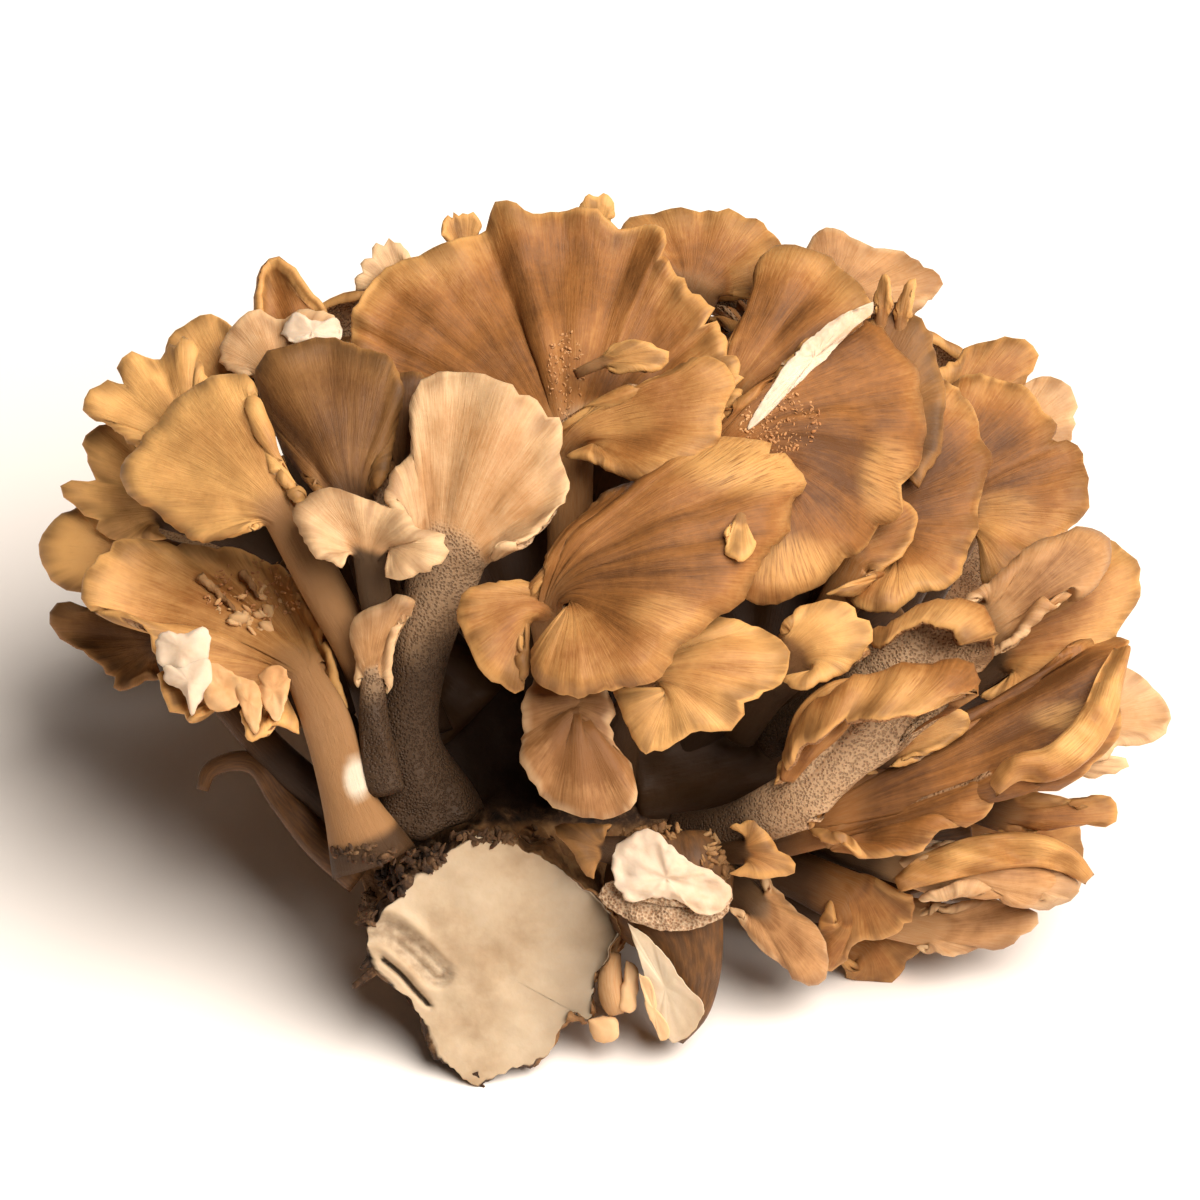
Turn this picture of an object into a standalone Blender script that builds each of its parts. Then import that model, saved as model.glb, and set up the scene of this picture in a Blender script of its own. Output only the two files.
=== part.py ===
"""A picked maitake mushroom cluster, lying as photographed.

The visible side is drawn in millimetres on a leaning plane: x to the right, y up the plane and d out of it,
towards someone who looks down at the cluster. The hidden back is drawn on a second leaning plane, seen from
behind. Every frond is one solid: an oval stem that opens into a fan.
"""
import math
from collections import namedtuple

import bmesh
import bpy
import numpy as np
from mathutils import Vector, noise
from mathutils.bvhtree import BVHTree

MM = 0.001

# Driving dimensions, in millimetres and degrees
FRONT_LEAN = 40.0      # how far the front drawing plane's view looks down
BACK_LEAN = 35.0       # the same for the back drawing plane
BACK_FLOOR = 140.0     # how far behind the front tip the back plane's zero line lies
RIM_HALF = 1.0         # half the thickness of a fan at its rim
GAP = 0.8              # gap kept between a trimmed piece and its neighbour
BOX_MIDDLE = (0.45, 68.87)  # middle of the whole cluster on the table, before it is centred
SKIN_STEP = 0.7        # size of the steps that a grown skin is built from
SNUG_GAP = 0.35        # gap kept where two finished pieces would still cross
FACE_AREA = 15.0       # skin to each triangle, in square millimetres
FEWEST_FACES = 90      # but no piece has fewer than this
SHARP_ANGLE = 50.0     # edges sharper than this stay crisp

# Colours from the photograph, linear
TAN = (0.52, 0.27, 0.10)
DARK = (0.22, 0.115, 0.05)
PALE = (0.70, 0.46, 0.24)
CREAM = (0.83, 0.68, 0.47)

# A plane that pieces are drawn on: its zero point and its three directions in the world
Plane = namedtuple("Plane", "zero right up out")


def leaning_plane(zero, lean_deg, facing):
    """The plane seen square on from above by lean_deg; facing is -1 for the front and 1 for the back."""
    lean = math.radians(lean_deg)
    right = np.array((-float(facing), 0.0, 0.0))
    up = np.array((0.0, -facing * math.sin(lean), math.cos(lean)))
    out = np.array((0.0, facing * math.cos(lean), math.sin(lean)))
    return Plane(np.array(zero, float), right, up, out)


# Directions on a drawing plane: out towards the viewer, and what is left when depth is dropped
OUT = np.array((0.0, 0.0, 1.0))
FLAT = np.array((1.0, 1.0, 0.0))

FRONT = leaning_plane((0.0, 0.0, 0.0), FRONT_LEAN, -1)
BACK = leaning_plane((0.0, BACK_FLOOR, 0.0), BACK_LEAN, 1)


def to_world(plane, points):
    """World millimetres of points given as x, y, d on a plane."""
    points = np.asarray(points, float)
    x, y, d = points[..., 0:1], points[..., 1:2], points[..., 2:3]
    return plane.zero + x * plane.right + y * plane.up + d * plane.out


# A fan. rim: x, y, d around it. bulge: how far it swells out between neck and rim. curl: where along the fan
# its rim starts to roll, and by how many degrees, with plus for towards the viewer. waves: number and height
# of its ruffles. rows: how many rows of faces lie between neck and rim.
Fan = namedtuple("Fan", "rim bulge curl waves rows")

# A frond. stem: x, y, d, half width and half depth from its root to its neck, where its fans start.
Frond = namedtuple("Frond", "name colour stem fans plane")
STEM_FLARE = 1.6       # how much wider a stem is at its neck than drawn, unless it shows


def fan(rim, bulge=2.0, curl=(0.85, -50), waves=(0, 0.0), rows=3):
    return Fan(np.array(rim, float), bulge, curl, waves, rows)


def frond(name, colour, stem, rim, *shape, plane=FRONT, lobes=(), flare=1.0, **more):
    fans = [fan(rim, *shape, **more)] + list(lobes)
    stem = np.array(stem, float)
    stem[:, 3] *= np.linspace(1.0, flare, len(stem))
    return Frond(name, colour, stem, fans, plane)


FRONDS = [
    # Centre and front, kept whole where they cross others
    frond("centre_fan", PALE,
          [(-27, 42, 2, 6, 5), (-31, 56, 9, 5, 4.5), (-29, 68, 13, 4.6, 4.2), (-24, 85, 19, 6, 3)],
          [(-32.6, 91, 22), (-33.4, 97, 20), (-30.5, 101, 19), (-29.5, 107, 18), (-29, 113.2, 16),
           (-25, 114.6, 16), (-19.4, 114.1, 17), (-11.2, 110.9, 19), (-5.8, 105.1, 21), (-6.1, 101.1, 22),
           (-5.1, 97.1, 23), (-8.5, 90.1, 27), (-11, 88.2, 28), (-16, 86.6, 28)], 1.5, (0.85, -40), rows=4),
    frond("front_fan", TAN,
          [(-4, 50, -6, 4.5, 4.5), (-5, 62, 10, 4, 3.6), (-8, 77, 21, 3.5, 2.5)],
          [(-5, 85, 19), (0, 94, 17), (6.4, 97.5, 17), (14.4, 103, 17), (24.5, 105.3, 17), (31, 102.6, 18),
           (34.7, 98.4, 20), (32.8, 94.7, 23), (31.4, 90.2, 25), (27.2, 85.3, 29), (22.4, 78, 32),
           (14.4, 72.2, 35), (9.1, 66, 36), (2.6, 63.5, 36), (-1.9, 62.7, 36), (-7.2, 63.2, 34),
           (-10, 65, 32), (-10.5, 70, 28)], 4.0, (0.8, -70), rows=5,
          lobes=[fan([(-12.5, 80.5, 24), (-18.2, 80.6, 25), (-22, 78.2, 26), (-22.2, 75.4, 27),
                      (-19.8, 68.8, 29), (-16.9, 65.6, 30), (-13.4, 63.5, 30), (-12.4, 70, 28)], 1.5)]),
    frond("top_fan", TAN,
          [(-8, 56, -14, 4.5, 4.5), (-7, 70, -3, 3.6, 3.6), (-5, 85, 4, 3.5, 3.5), (-5, 102, 9, 4, 2.5)],
          [(-26, 103, 9), (-36, 111, 3), (-39.9, 119.8, 0), (-39.2, 126, -3), (-35.7, 130.3, -5),
           (-30.9, 133.5, -6), (-25, 135.6, -7), (-19.8, 137.6, -8), (-15.4, 142.9, -9), (-11.2, 140.7, -8),
           (-6.7, 141.4, -9), (-1.1, 141, -9), (3.8, 138.6, -7), (9.8, 138.3, -7), (11.2, 132.5, -2),
           (16.3, 127, 0), (18.6, 123, 3), (21.3, 117.4, 6), (22.6, 114.2, 8), (21, 108.5, 11),
           (14, 103, 13)], -3.0, (0.88, -40), (9, 0.8), rows=5,
          lobes=[fan([(-5.6, 100.8, 17), (0.2, 99.6, 20), (6.1, 97.2, 23), (12.3, 98.8, 23), (18, 103, 21),
                      (19, 108, 19), (21.5, 113, 18), (17.5, 115.8, 17), (8, 113, 15)], 2.0, (0.8, -60))]),
    frond("right_fan", TAN,
          [(5, 84, -16, 3.5, 3.5), (14, 92, -2, 3.2, 3), (22, 102, 9, 3.5, 2.5)],
          [(28, 110, 6), (36, 118, 2), (44, 123.3, -4), (46.3, 122.6, -4), (51, 116, -3), (52.5, 108.5, -1),
           (52.2, 100.3, 3), (49.2, 95.5, 6), (48.8, 91.8, 8), (45, 89, 10), (38.4, 82.9, 14), (32, 78.9, 17),
           (25, 77.3, 19), (19, 84, 17), (18, 92, 13)], 3.0, (0.85, -60), rows=5, flare=STEM_FLARE),
    frond("dark_fan", DARK,
          [(-27, 56, -4, 3.6, 3.6), (-33, 72, 2, 3.3, 3.3), (-39.5, 94, 10, 3.5, 2.5)],
          [(-45, 95, 11), (-51, 104, 5), (-54.5, 112, 2), (-53.6, 117.8, 2), (-49.9, 119.4, 2),
           (-41, 119.6, 4), (-34.7, 117.8, 6), (-31.4, 112.5, 9), (-32.8, 105.3, 11), (-35, 96, 13)],
          2.0, (0.9, -40), (5, 0.4)),
    frond("left_fan", TAN,
          [(-32, 47, 1, 4, 3.6), (-38.5, 70, 11, 3.6, 3.2), (-44, 80, 12, 3.6, 3.2),
           (-50, 91.5, 12, 3.6, 2.5)],
          [(-56.3, 89.4, 12), (-62.6, 87.8, 9), (-70.6, 91.7, 5), (-75.5, 95.8, 3), (-77, 99.2, 1),
           (-72.8, 106, 0), (-69.6, 110, 1), (-61.3, 114.6, 4), (-56.5, 114.2, 6), (-55.8, 109.8, 8),
           (-51.8, 100, 12), (-47.5, 93.5, 15)], 2.0, (0.85, -55), rows=4),
    frond("pale_front_lobe", PALE,
          [(-33.5, 70, 14.5, 2.6, 2.4), (-35.5, 78, 17, 2.6, 2.4), (-36.5, 85.5, 20, 2.6, 2)],
          [(-40.6, 83.2, 26), (-45.6, 86.4, 24), (-48, 93.3, 20), (-44.3, 95.2, 20), (-37.8, 95, 21),
           (-34.9, 93.2, 22), (-31.7, 92.4, 24), (-28.5, 89, 26), (-24.3, 87.2, 29), (-24.6, 85.4, 29),
           (-28.5, 82.4, 28), (-33.8, 81.9, 28)], 1.5, (0.75, -70)),
    frond("pointed_frond", PALE,
          [(-34, 47, 13, 2, 1.8), (-36, 60, 15, 2, 1.6), (-36, 66, 16.5, 1.8, 1.4)],
          [(-38.5, 64, 16), (-38.8, 70, 17), (-38.6, 75.4, 18), (-35, 77.5, 19), (-29.9, 79.2, 20),
           (-31.8, 74, 19), (-33, 68, 18), (-33.8, 63, 17)], 0.5, rows=2),
    frond("torn_bowl_frond", TAN,
          [(-36, 36, 8, 5.5, 4.5), (-40, 46, 12, 3.8, 3.4), (-44, 60, 13.5, 3.8, 2.5), (-47, 66, 11.5, 3, 2)],
          [(-47.8, 57.6, 17), (-51, 59, 18), (-54.4, 56.8, 19), (-57.3, 61.3, 17), (-62.6, 60.8, 16),
           (-65, 59.2, 15), (-70, 66, 12), (-71.5, 73, 9), (-77.3, 75.8, 7), (-81, 76.2, 5), (-82.7, 80.5, 2),
           (-81.5, 84, 1), (-78.4, 86.8, 0), (-73, 87.4, -1), (-63, 86.5, -2), (-56, 85.5, 0),
           (-49.5, 81.5, 5), (-46, 76, 8), (-43, 68, 11), (-40.5, 61.3, 13)], -3.5, (0.88, -50), rows=4),
    frond("front_under_fan", TAN,
          [(2, 48, -3, 3.6, 3.6), (4, 58, 9, 3.2, 3), (9, 66, 22, 3, 2)],
          [(1.8, 64, 24), (4, 59.5, 25), (7.2, 53.8, 26), (12, 55.7, 27), (15.8, 57.4, 28), (19.8, 57.8, 28),
           (24.8, 62.3, 27), (29.3, 66.3, 25), (30.1, 70, 23), (27, 73, 21), (18, 75, 20)], 1.5),
    frond("hanging_fan", PALE,
          [(-3, 46, -2, 3.2, 3.2), (-3.5, 56, 11, 3, 2.8), (-4, 62, 21.5, 2.8, 1.8)],
          [(-10, 66.5, 22), (-11.6, 63, 24), (-12.5, 55, 25), (-10.6, 48.8, 25), (-6.4, 45, 25),
           (-1.6, 43.5, 25), (6.4, 46.7, 24), (4.2, 51, 24), (2.5, 56, 24), (1.8, 62, 23), (0, 66.5, 21)],
          1.0, (0.85, -30)),
    frond("round_lobe", PALE,
          [(22, 56, -5, 3, 3), (26, 63, 5, 2.8, 2.6), (32, 70, 16.5, 2.8, 2)],
          [(28.5, 73, 17), (32.2, 76.8, 18), (36.6, 78.1, 18), (41.1, 76.3, 18), (43.2, 73.3, 19),
           (42, 70, 20), (39, 66.9, 21), (34, 64.8, 22), (30.9, 63.8, 22), (28.5, 65.5, 20)], 1.5,
          (0.75, -70), flare=STEM_FLARE),
    frond("pore_lip_lower", TAN,
          [(12, 40, -6, 3.6, 3.6), (22, 42, 6, 3, 3), (31, 46, 13.5, 3, 2)],
          [(27.5, 48, 16), (29.4, 54, 19), (33.1, 60.4, 20), (39.2, 64.8, 20), (43.2, 65.8, 19),
           (51.5, 67.2, 17), (56.2, 66.4, 15), (58.1, 64, 14), (51.5, 60, 14), (42.4, 52.6, 14),
           (33, 44.5, 13)], 0.5, (0.7, 110), rows=4, flare=STEM_FLARE),
    frond("large_wavy_frond", TAN,
          [(14, 38, -10, 3.6, 3.4), (24, 40, -1, 3.4, 3), (35, 43.5, 7, 3.2, 2)],
          [(34, 46, 7), (44, 50.5, 8), (52, 52, 8), (60.8, 55, 7), (67.7, 60, 6), (73.6, 66, 5),
           (79, 71.4, 3), (84.8, 72, 1), (82.8, 66.6, 3), (82.4, 59.2, 6), (79, 53.2, 9), (70.9, 48.4, 11),
           (65.3, 51.2, 13), (63, 48, 13), (59.4, 43.8, 13), (53.4, 42, 13), (49.8, 38.4, 13),
           (44.6, 37.6, 13), (37.8, 39.2, 11), (33.1, 42, 8)], 1.5, (0.85, -50), rows=4, flare=STEM_FLARE),
    frond("tongue_frond", TAN,
          [(30, 52, -3, 2.6, 2.4), (38, 53, 4, 2.4, 2), (47, 55, 9.5, 2.2, 1.6)],
          [(44.6, 55, 10.5), (50, 58, 10.5), (55, 60.6, 9.5), (59.8, 59.8, 8.5), (58, 57, 10),
           (52, 54, 11), (46, 51.5, 11)], 0.5, rows=2, flare=STEM_FLARE),
    frond("pore_lip_upper", TAN,
          [(26, 55, -7, 3.2, 3), (35, 60, 2, 3, 2.6), (45, 66, 9, 3, 2)],
          [(38.5, 67, 13), (44.2, 73.6, 13), (49.1, 76, 12), (54.9, 77.3, 11), (58.9, 76, 10),
           (62, 72.5, 9), (62.8, 69.5, 8), (59, 66, 8), (50, 63, 8)], 0.5, (0.7, 110), flare=STEM_FLARE),
    frond("crescent_fan", TAN,
          [(32, 62, -11, 3.2, 3), (37, 76, -7, 3, 2.8), (43, 88, -4.5, 3, 2)],
          [(46, 108, -12), (50, 113, -13), (55.2, 115.2, -13), (58.4, 112.7, -12), (61.6, 107, -10),
           (63, 102, -8), (61.7, 95.7, -5), (60, 87.7, -1), (56.8, 81.2, 3), (49.6, 78.4, 7),
           (43.5, 76, 8), (39, 79, 6)], 2.0, (0.85, -50), rows=4, flare=STEM_FLARE),
    frond("rolled_lip_frond", PALE,
          [(46, 64, -9, 2.8, 2.6), (54, 69, -2.5, 2.6, 2.2), (64, 75, 3.5, 2.6, 1.8)],
          [(57.5, 77, 4.5), (63, 81.8, 4), (70.7, 87.1, 2), (77, 90.4, 0), (83, 88.9, -2), (83.6, 86.5, -1),
           (79, 81.1, 3), (72.8, 78, 6), (70.4, 76, 7), (66, 71, 7), (62, 69, 6)], 1.0, (0.7, 100),
          flare=STEM_FLARE),
    frond("broad_right_fan", TAN,
          [(50, 60, -14, 3, 2.8), (56, 64, -8.5, 3, 2.4), (63, 70, -4.5, 3, 2)],
          [(60.8, 62.5, 2), (67.2, 61.4, 2), (72.8, 65.4, 0), (83.4, 72.3, -5), (86.9, 78.2, -8),
           (87.4, 84.8, -11), (83.8, 88, -12), (77, 88, -11), (68, 84, -8), (60, 76, -4)], 1.5,
          flare=STEM_FLARE),
    frond("far_right_fan", TAN,
          [(42, 64, -19, 3.2, 3), (48, 78, -18, 3, 2.8), (55, 92, -16.5, 3, 2)],
          [(54, 108, -19), (58.1, 113.2, -20), (60.6, 115.2, -21), (67, 114.4, -22), (72.8, 109.5, -21),
           (74.9, 106.1, -20), (73.9, 104.2, -19), (77.3, 103.6, -20), (79.6, 97.4, -18), (78.8, 92.5, -16),
           (77, 90.2, -15), (68.8, 84.2, -11), (62, 80, -9)], 2.0, (0.85, -50), rows=4, flare=STEM_FLARE),
    frond("right_folded_fan", TAN,
          [(6, 96, -18, 3, 3), (13, 102, -8, 2.8, 2.6), (21, 111, 1, 3, 2)],
          [(22, 113, 1), (23, 119, -2), (25, 128, -6), (27.7, 135.2, -8), (33.4, 135.1, -8),
           (40.8, 130.4, -5), (44, 125.4, -1), (38, 122, 4), (32, 117.5, 8), (26.5, 110, 9)], 2.0,
          (0.88, -50), (3, 0.8), flare=STEM_FLARE),
    frond("right_back_lobe", TAN,
          [(28, 60, -6, 2.6, 2.4), (35, 72, 0, 2.4, 2.2), (42, 84, 4.5, 2.4, 1.8)],
          [(36, 79, 9), (43.2, 80.3, 7), (46.6, 84.3, 5), (50.6, 88.5, 3), (51.4, 91.6, 1.5),
           (47, 95, 0)], 0.5, rows=2, flare=STEM_FLARE),
    frond("second_leaf", DARK,
          [(5, 38, -2, 2.4, 2.2), (3, 38, 7, 2.4, 1.6), (0, 38.5, 11, 2, 1.2)],
          [(-1, 33.5, 13), (-3.5, 37, 13.5), (-7.2, 42, 12), (-2, 42, 12.5), (2, 42.5, 12)], 1.0, rows=2),
    frond("torn_leaf", TAN,
          [(14, 38, -4, 2.4, 2.2), (20, 38, 5, 2.2, 1.6), (23.5, 38, 10, 2, 1.2)],
          [(20.5, 34.5, 11), (25, 34, 12), (31.4, 35, 9), (28, 39, 11), (25.5, 43, 10.5), (20.5, 42, 10)],
          0.5, rows=2),
    frond("beige_flap", PALE,
          [(12, 36, -8, 2.8, 2.6), (19, 34, -2.5, 2.8, 2), (25, 29, 1, 2.6, 1.6)],
          [(20.5, 29, 2), (26, 22.5, 0), (32, 17.2, -4), (36.2, 16, -7), (37, 21, -6), (31.5, 28, -3),
           (25.5, 35, 0)], 1.0, rows=2),
    frond("lower_hanging_lobe", TAN,
          [(16, 35, -16, 2.8, 2.8), (28, 35, -9, 2.8, 2.4), (40, 30, -5, 2.8, 2)],
          [(37, 30, -4), (35, 24, -7), (34.8, 19.3, -10), (36.2, 17.9, -11), (38.1, 18.2, -11),
           (40.4, 22, -8), (45.9, 23.9, -6), (50.2, 26, -5), (50.6, 30.6, -4)], 1.0, flare=STEM_FLARE),
    frond("lower_rolled_frond", PALE,
          [(28, 42, -14, 2.8, 2.6), (42, 38, -7, 2.8, 2.4), (56, 34.5, -2, 2.8, 2)],
          [(46.6, 34, -1), (49.8, 36.5, -1), (56.2, 39.6, -2), (61.6, 40.5, -3), (69, 40, -5),
           (74.6, 39.2, -7), (79.7, 34.4, -8), (79.7, 29.8, -8), (73.6, 28.3, -6), (65.3, 30, -3),
           (56, 30, -1), (50, 29, 0)], 1.5, (0.75, -80), flare=STEM_FLARE),
    frond("flat_strip_frond", TAN,
          [(46, 52, -16, 2.6, 2.4), (56, 47, -12, 2.4, 2), (66, 43.8, -9, 2.2, 1.6)],
          [(62, 46.6, -8), (70, 46.6, -9), (76.8, 45.6, -10), (84.3, 45.2, -12), (84.4, 43, -12),
           (80, 42, -11), (72, 41.5, -10), (64, 41, -9)], 0.5, rows=2, flare=STEM_FLARE),
    frond("right_tip_frond", PALE,
          [(52, 58, -17, 2.6, 2.4), (66, 58, -11, 2.6, 2.2), (79, 59, -6, 2.6, 1.8)],
          [(77, 66, -6), (82.7, 68, -7), (89.3, 63.6, -9), (92.5, 60.3, -9), (92.2, 57.2, -8),
           (89.6, 56, -6), (84.6, 54.2, -3), (79, 52, -2)], 1.0, flare=STEM_FLARE),
    frond("lower_leaf_frond", PALE,
          [(16, 32, -20, 2.6, 2.6), (36, 29, -14, 2.6, 2), (54, 25.5, -10.5, 2.4, 1.6)],
          [(50.4, 27, -9), (60, 29.4, -10), (66.1, 29, -11), (71.5, 26.2, -13), (65, 22.5, -13),
           (56, 20.8, -12), (51, 22, -11)], 0.8, rows=2, flare=STEM_FLARE),
    frond("lowest_lobe", TAN,
          [(16, 32, -26, 2.8, 2.6), (30, 28, -20, 2.8, 2.2), (43.5, 22, -17.5, 2.6, 1.8)],
          [(38.5, 21, -16), (39, 18.8, -18), (40.3, 17, -19.5), (44, 15.6, -20.2), (47.7, 16, -20.2),
           (49.6, 18.4, -19.5), (51.6, 21.6, -18), (51, 25.2, -16)], 0.8, flare=STEM_FLARE),
    frond("left_side_frond", TAN,
          [(-50, 84, -16, 2.8, 2.6), (-60, 90, -12.5, 2.8, 2.2), (-70, 94, -10.5, 2.8, 1.8)],
          [(-70, 88, -9), (-77, 87.5, -12), (-84, 92, -14), (-87.7, 95.8, -15), (-83, 98, -14),
           (-84, 104, -15), (-80, 106.7, -14), (-72, 104, -11)], 0.5, flare=STEM_FLARE),
    frond("left_upper_fan", TAN,
          [(-51, 92, -13, 2.8, 2.6), (-58, 99, -9, 2.8, 2.2), (-66, 105, -6, 2.8, 1.8)],
          [(-73, 102, -4), (-79, 106, -6), (-83.1, 108.6, -8), (-79.2, 115.2, -10), (-75, 118.2, -11),
           (-71.6, 117.2, -11), (-69, 121, -10), (-63.8, 115, -7), (-59, 108, -4)], 1.0, rows=2,
          flare=STEM_FLARE),
    frond("left_crest_fan", TAN,
          [(-53, 98, -17, 2.6, 2.4), (-57, 105, -14.5, 2.6, 2.2), (-60, 113, -13, 2.6, 1.8)],
          [(-65, 112, -12), (-70, 117, -15), (-69.6, 121.5, -16), (-64.6, 124.3, -16), (-58.9, 122.4, -14),
           (-54, 115, -11)], 1.0, rows=2, flare=STEM_FLARE),
    frond("left_round_lobe", TAN,
          [(-48, 80, -21, 2.8, 2.6), (-62, 82, -20, 2.8, 2.4), (-78, 86, -18, 2.6, 1.8)],
          [(-77, 80.2, -16), (-84, 79.2, -18), (-90, 82, -19), (-91.5, 87, -19), (-89, 91.5, -19),
           (-84, 93.4, -18), (-78, 92.5, -18), (-73, 89, -17)], 1.0, (0.75, -60), flare=STEM_FLARE),
    frond("left_dark_frond", DARK,
          [(-38, 41, 0, 3.2, 2.8), (-53, 54, -1, 2.8, 2.4), (-64, 66, -7, 2.8, 2), (-70, 71, -9.5, 2.6, 1.6)],
          [(-71, 65.5, -9), (-74.7, 64.4, -10), (-78.2, 64, -12), (-81, 67.4, -13), (-84, 70, -14),
           (-87, 71.2, -15), (-89.5, 75.3, -16), (-88.2, 77.2, -16), (-83.7, 76.6, -15),
           (-78.9, 76.4, -13), (-71, 76, -11)], -1.0),
    frond("broken_frond", PALE,
          [(-42, 84, -10, 2.8, 2.6), (-47, 100, -8, 2.6, 2.4), (-52, 115.5, -6, 2.6, 1.8)],
          [(-57, 114, -5), (-61.3, 117, -7), (-60, 122, -8), (-56, 124.6, -8), (-52.5, 123.5, -7),
           (-49, 124.5, -6), (-43, 124, -5), (-42.5, 120.5, -4)], 0.5, rows=2, flare=STEM_FLARE),
    frond("curled_upright_frond", TAN,
          [(-42, 88, -20, 2.8, 2.6), (-45, 104, -17, 2.6, 2.4), (-48.5, 121, -12.5, 2.6, 1.6)],
          [(-52, 121, -12), (-55.8, 127, -13), (-54.7, 131.8, -14), (-53.3, 133.8, -14),
           (-50.4, 132.7, -13), (-47.2, 128.7, -12), (-43.5, 123, -11)], -1.5, (0.8, 60), rows=2,
          flare=STEM_FLARE),
    frond("crescent_back_fan", DARK,
          [(12, 96, -22, 2.8, 2.6), (26, 100, -14, 2.6, 2.4), (42, 106, -7, 2.6, 1.8)],
          [(43, 122, -8), (47.5, 126, -10), (51, 124.7, -9), (54, 119, -7.5), (55.4, 112, -5.5),
           (54.8, 103, -2.5), (51, 96, 0)], 1.0, rows=2, flare=STEM_FLARE),
    frond("far_right_top_lobe", TAN,
          [(40, 66, -23, 2.8, 2.6), (50, 90, -26, 2.6, 2.4), (59, 110, -26, 2.6, 1.8)],
          [(53, 114, -25), (57, 117.5, -26), (63, 120, -28), (67.5, 121.5, -29), (71.5, 119, -29),
           (70, 114.6, -27), (66, 109, -26)], 1.0, rows=2, flare=STEM_FLARE),
    frond("far_right_back_lobe", PALE,
          [(46, 66, -24, 2.6, 2.4), (57, 86, -28, 2.6, 2.2), (68, 105, -29, 2.6, 1.8)],
          [(62, 106, -28), (67.8, 113, -30), (73, 115.2, -31), (78, 110.5, -31), (77.5, 105, -29),
           (71, 98, -28)], 1.0, rows=2, flare=STEM_FLARE),
    frond("back_crest_frond", TAN,
          [(8, 110, -22, 2.8, 2.8), (11, 118, -18, 2.8, 2.4), (15, 129, -15.5, 3, 2)],
          [(4, 128, -14), (3.8, 139.2, -18), (9.8, 141.4, -20), (18.7, 141.6, -20), (26.1, 139.6, -19),
           (29.8, 135.8, -17), (26, 126, -14)], 1.0, (0.85, -50), flare=STEM_FLARE),
    frond("back_right_frond", PALE,
          [(12, 104, -24, 2.8, 2.8), (26, 116, -22, 2.8, 2.4), (38, 128, -20.5, 2.8, 1.8)],
          [(35, 128, -19), (34, 135, -21), (37, 139.2, -23), (42, 136.6, -23), (50, 134.5, -24),
           (55.8, 130, -23), (50, 124, -19)], 1.0, rows=2, flare=STEM_FLARE),

    # The hidden back, drawn from behind
    frond("back_low_centre", TAN,
          [(4, 62, -30, 6, 5), (3, 53, -12, 7, 4.2), (2, 46, 0, 8, 3)],
          [(26, 50, 4), (32, 34, 8), (28, 18, 3), (16, 4.5, -6.5), (4, 1.2, -3), (-10, 3, -5),
           (-24, 12, 1), (-32, 28, 7), (-26, 48, 5)], 4.0, (0.85, -20), (4, 1.0), plane=BACK),
    frond("back_low_left", TAN,
          [(12, 62, -40, 6, 5), (30, 56, -26, 7, 4.2), (44, 49, -13, 8, 3)],
          [(48, 64, -6), (62, 64, -8), (76, 54, -15), (80, 38, -21), (70, 24, -25.5), (56, 16, -25.5),
           (42, 20, -17), (33, 34, -5), (33, 50, -1)], 3.0, (0.85, -20), (4, 1.0), plane=BACK),
    frond("back_low_right", TAN,
          [(-6, 62, -40, 6, 5), (-28, 55, -26, 7, 4.2), (-44, 48, -13, 8, 3)],
          [(-46, 64, -5), (-60, 65, -7), (-75, 56, -13), (-82, 40, -19), (-73, 24, -25.5),
           (-58, 16, -25.5), (-43, 20, -16), (-34, 34, -4), (-33, 50, 0)], 3.0, (0.85, -20), (4, 1.0),
          plane=BACK),
    frond("back_mid_left", TAN,
          [(8, 70, -24, 6, 5), (18, 70, -10, 7, 4.2), (28, 70, 4, 8, 3)],
          [(5, 58, 20), (5, 74, 25), (16, 84, 24), (34, 87, 19), (54, 84, 10), (70, 74, 1), (68, 58, 0),
           (50, 46, 6), (26, 45, 15), (12, 48, 19)], 3.0, (0.85, -40), (5, 1.0), plane=BACK),
    frond("back_mid_right", TAN,
          [(-2, 70, -24, 6, 5), (-14, 69, -10, 7, 4.2), (-26, 69, 6, 8, 3)],
          [(0, 56, 23), (0, 72, 27), (-12, 80, 26), (-32, 82, 22), (-54, 80, 12), (-70, 72, 3),
           (-67, 58, 2), (-48, 46, 7), (-22, 45, 17), (-8, 47, 21)], 3.0, (0.85, -40), (5, 1.0), plane=BACK),
    frond("back_top_left", TAN,
          [(8, 82, -20, 5, 5), (14, 86, -6, 6, 4), (20, 89, 4, 7, 2.5)],
          [(2, 87, 15), (3, 97, 16), (14, 101, 15), (30, 100, 10), (42, 92, 6), (48, 85, 6),
           (36, 79, 12), (16, 78, 16)], 2.5, (0.85, -50), (4, 1.0), plane=BACK),
    frond("back_top_right", TAN,
          [(-14, 85, 0, 4, 3.6), (-18, 85, 5, 5, 3), (-24, 84, 9, 6, 2.4)],
          [(-5, 82, 15), (-8, 89, 15), (-20, 91, 14), (-36, 88, 11), (-48, 84, 7), (-52, 79, 5),
           (-34, 74, 11), (-14, 74, 14)], 2.5, (0.85, -50), (4, 1.0), plane=BACK),
    frond("right_under_frond", TAN,
          [(22, 46, -22, 4, 3.4), (44, 42, -28, 4.4, 3), (61, 38.5, -32, 5, 2.2)],
          [(58, 44, -30), (70, 46, -36), (78, 42, -38), (80, 36, -39), (72, 30.5, -37.6),
           (60, 30, -34), (54, 34, -31)], 2.0, (0.85, -20)),
]

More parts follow.
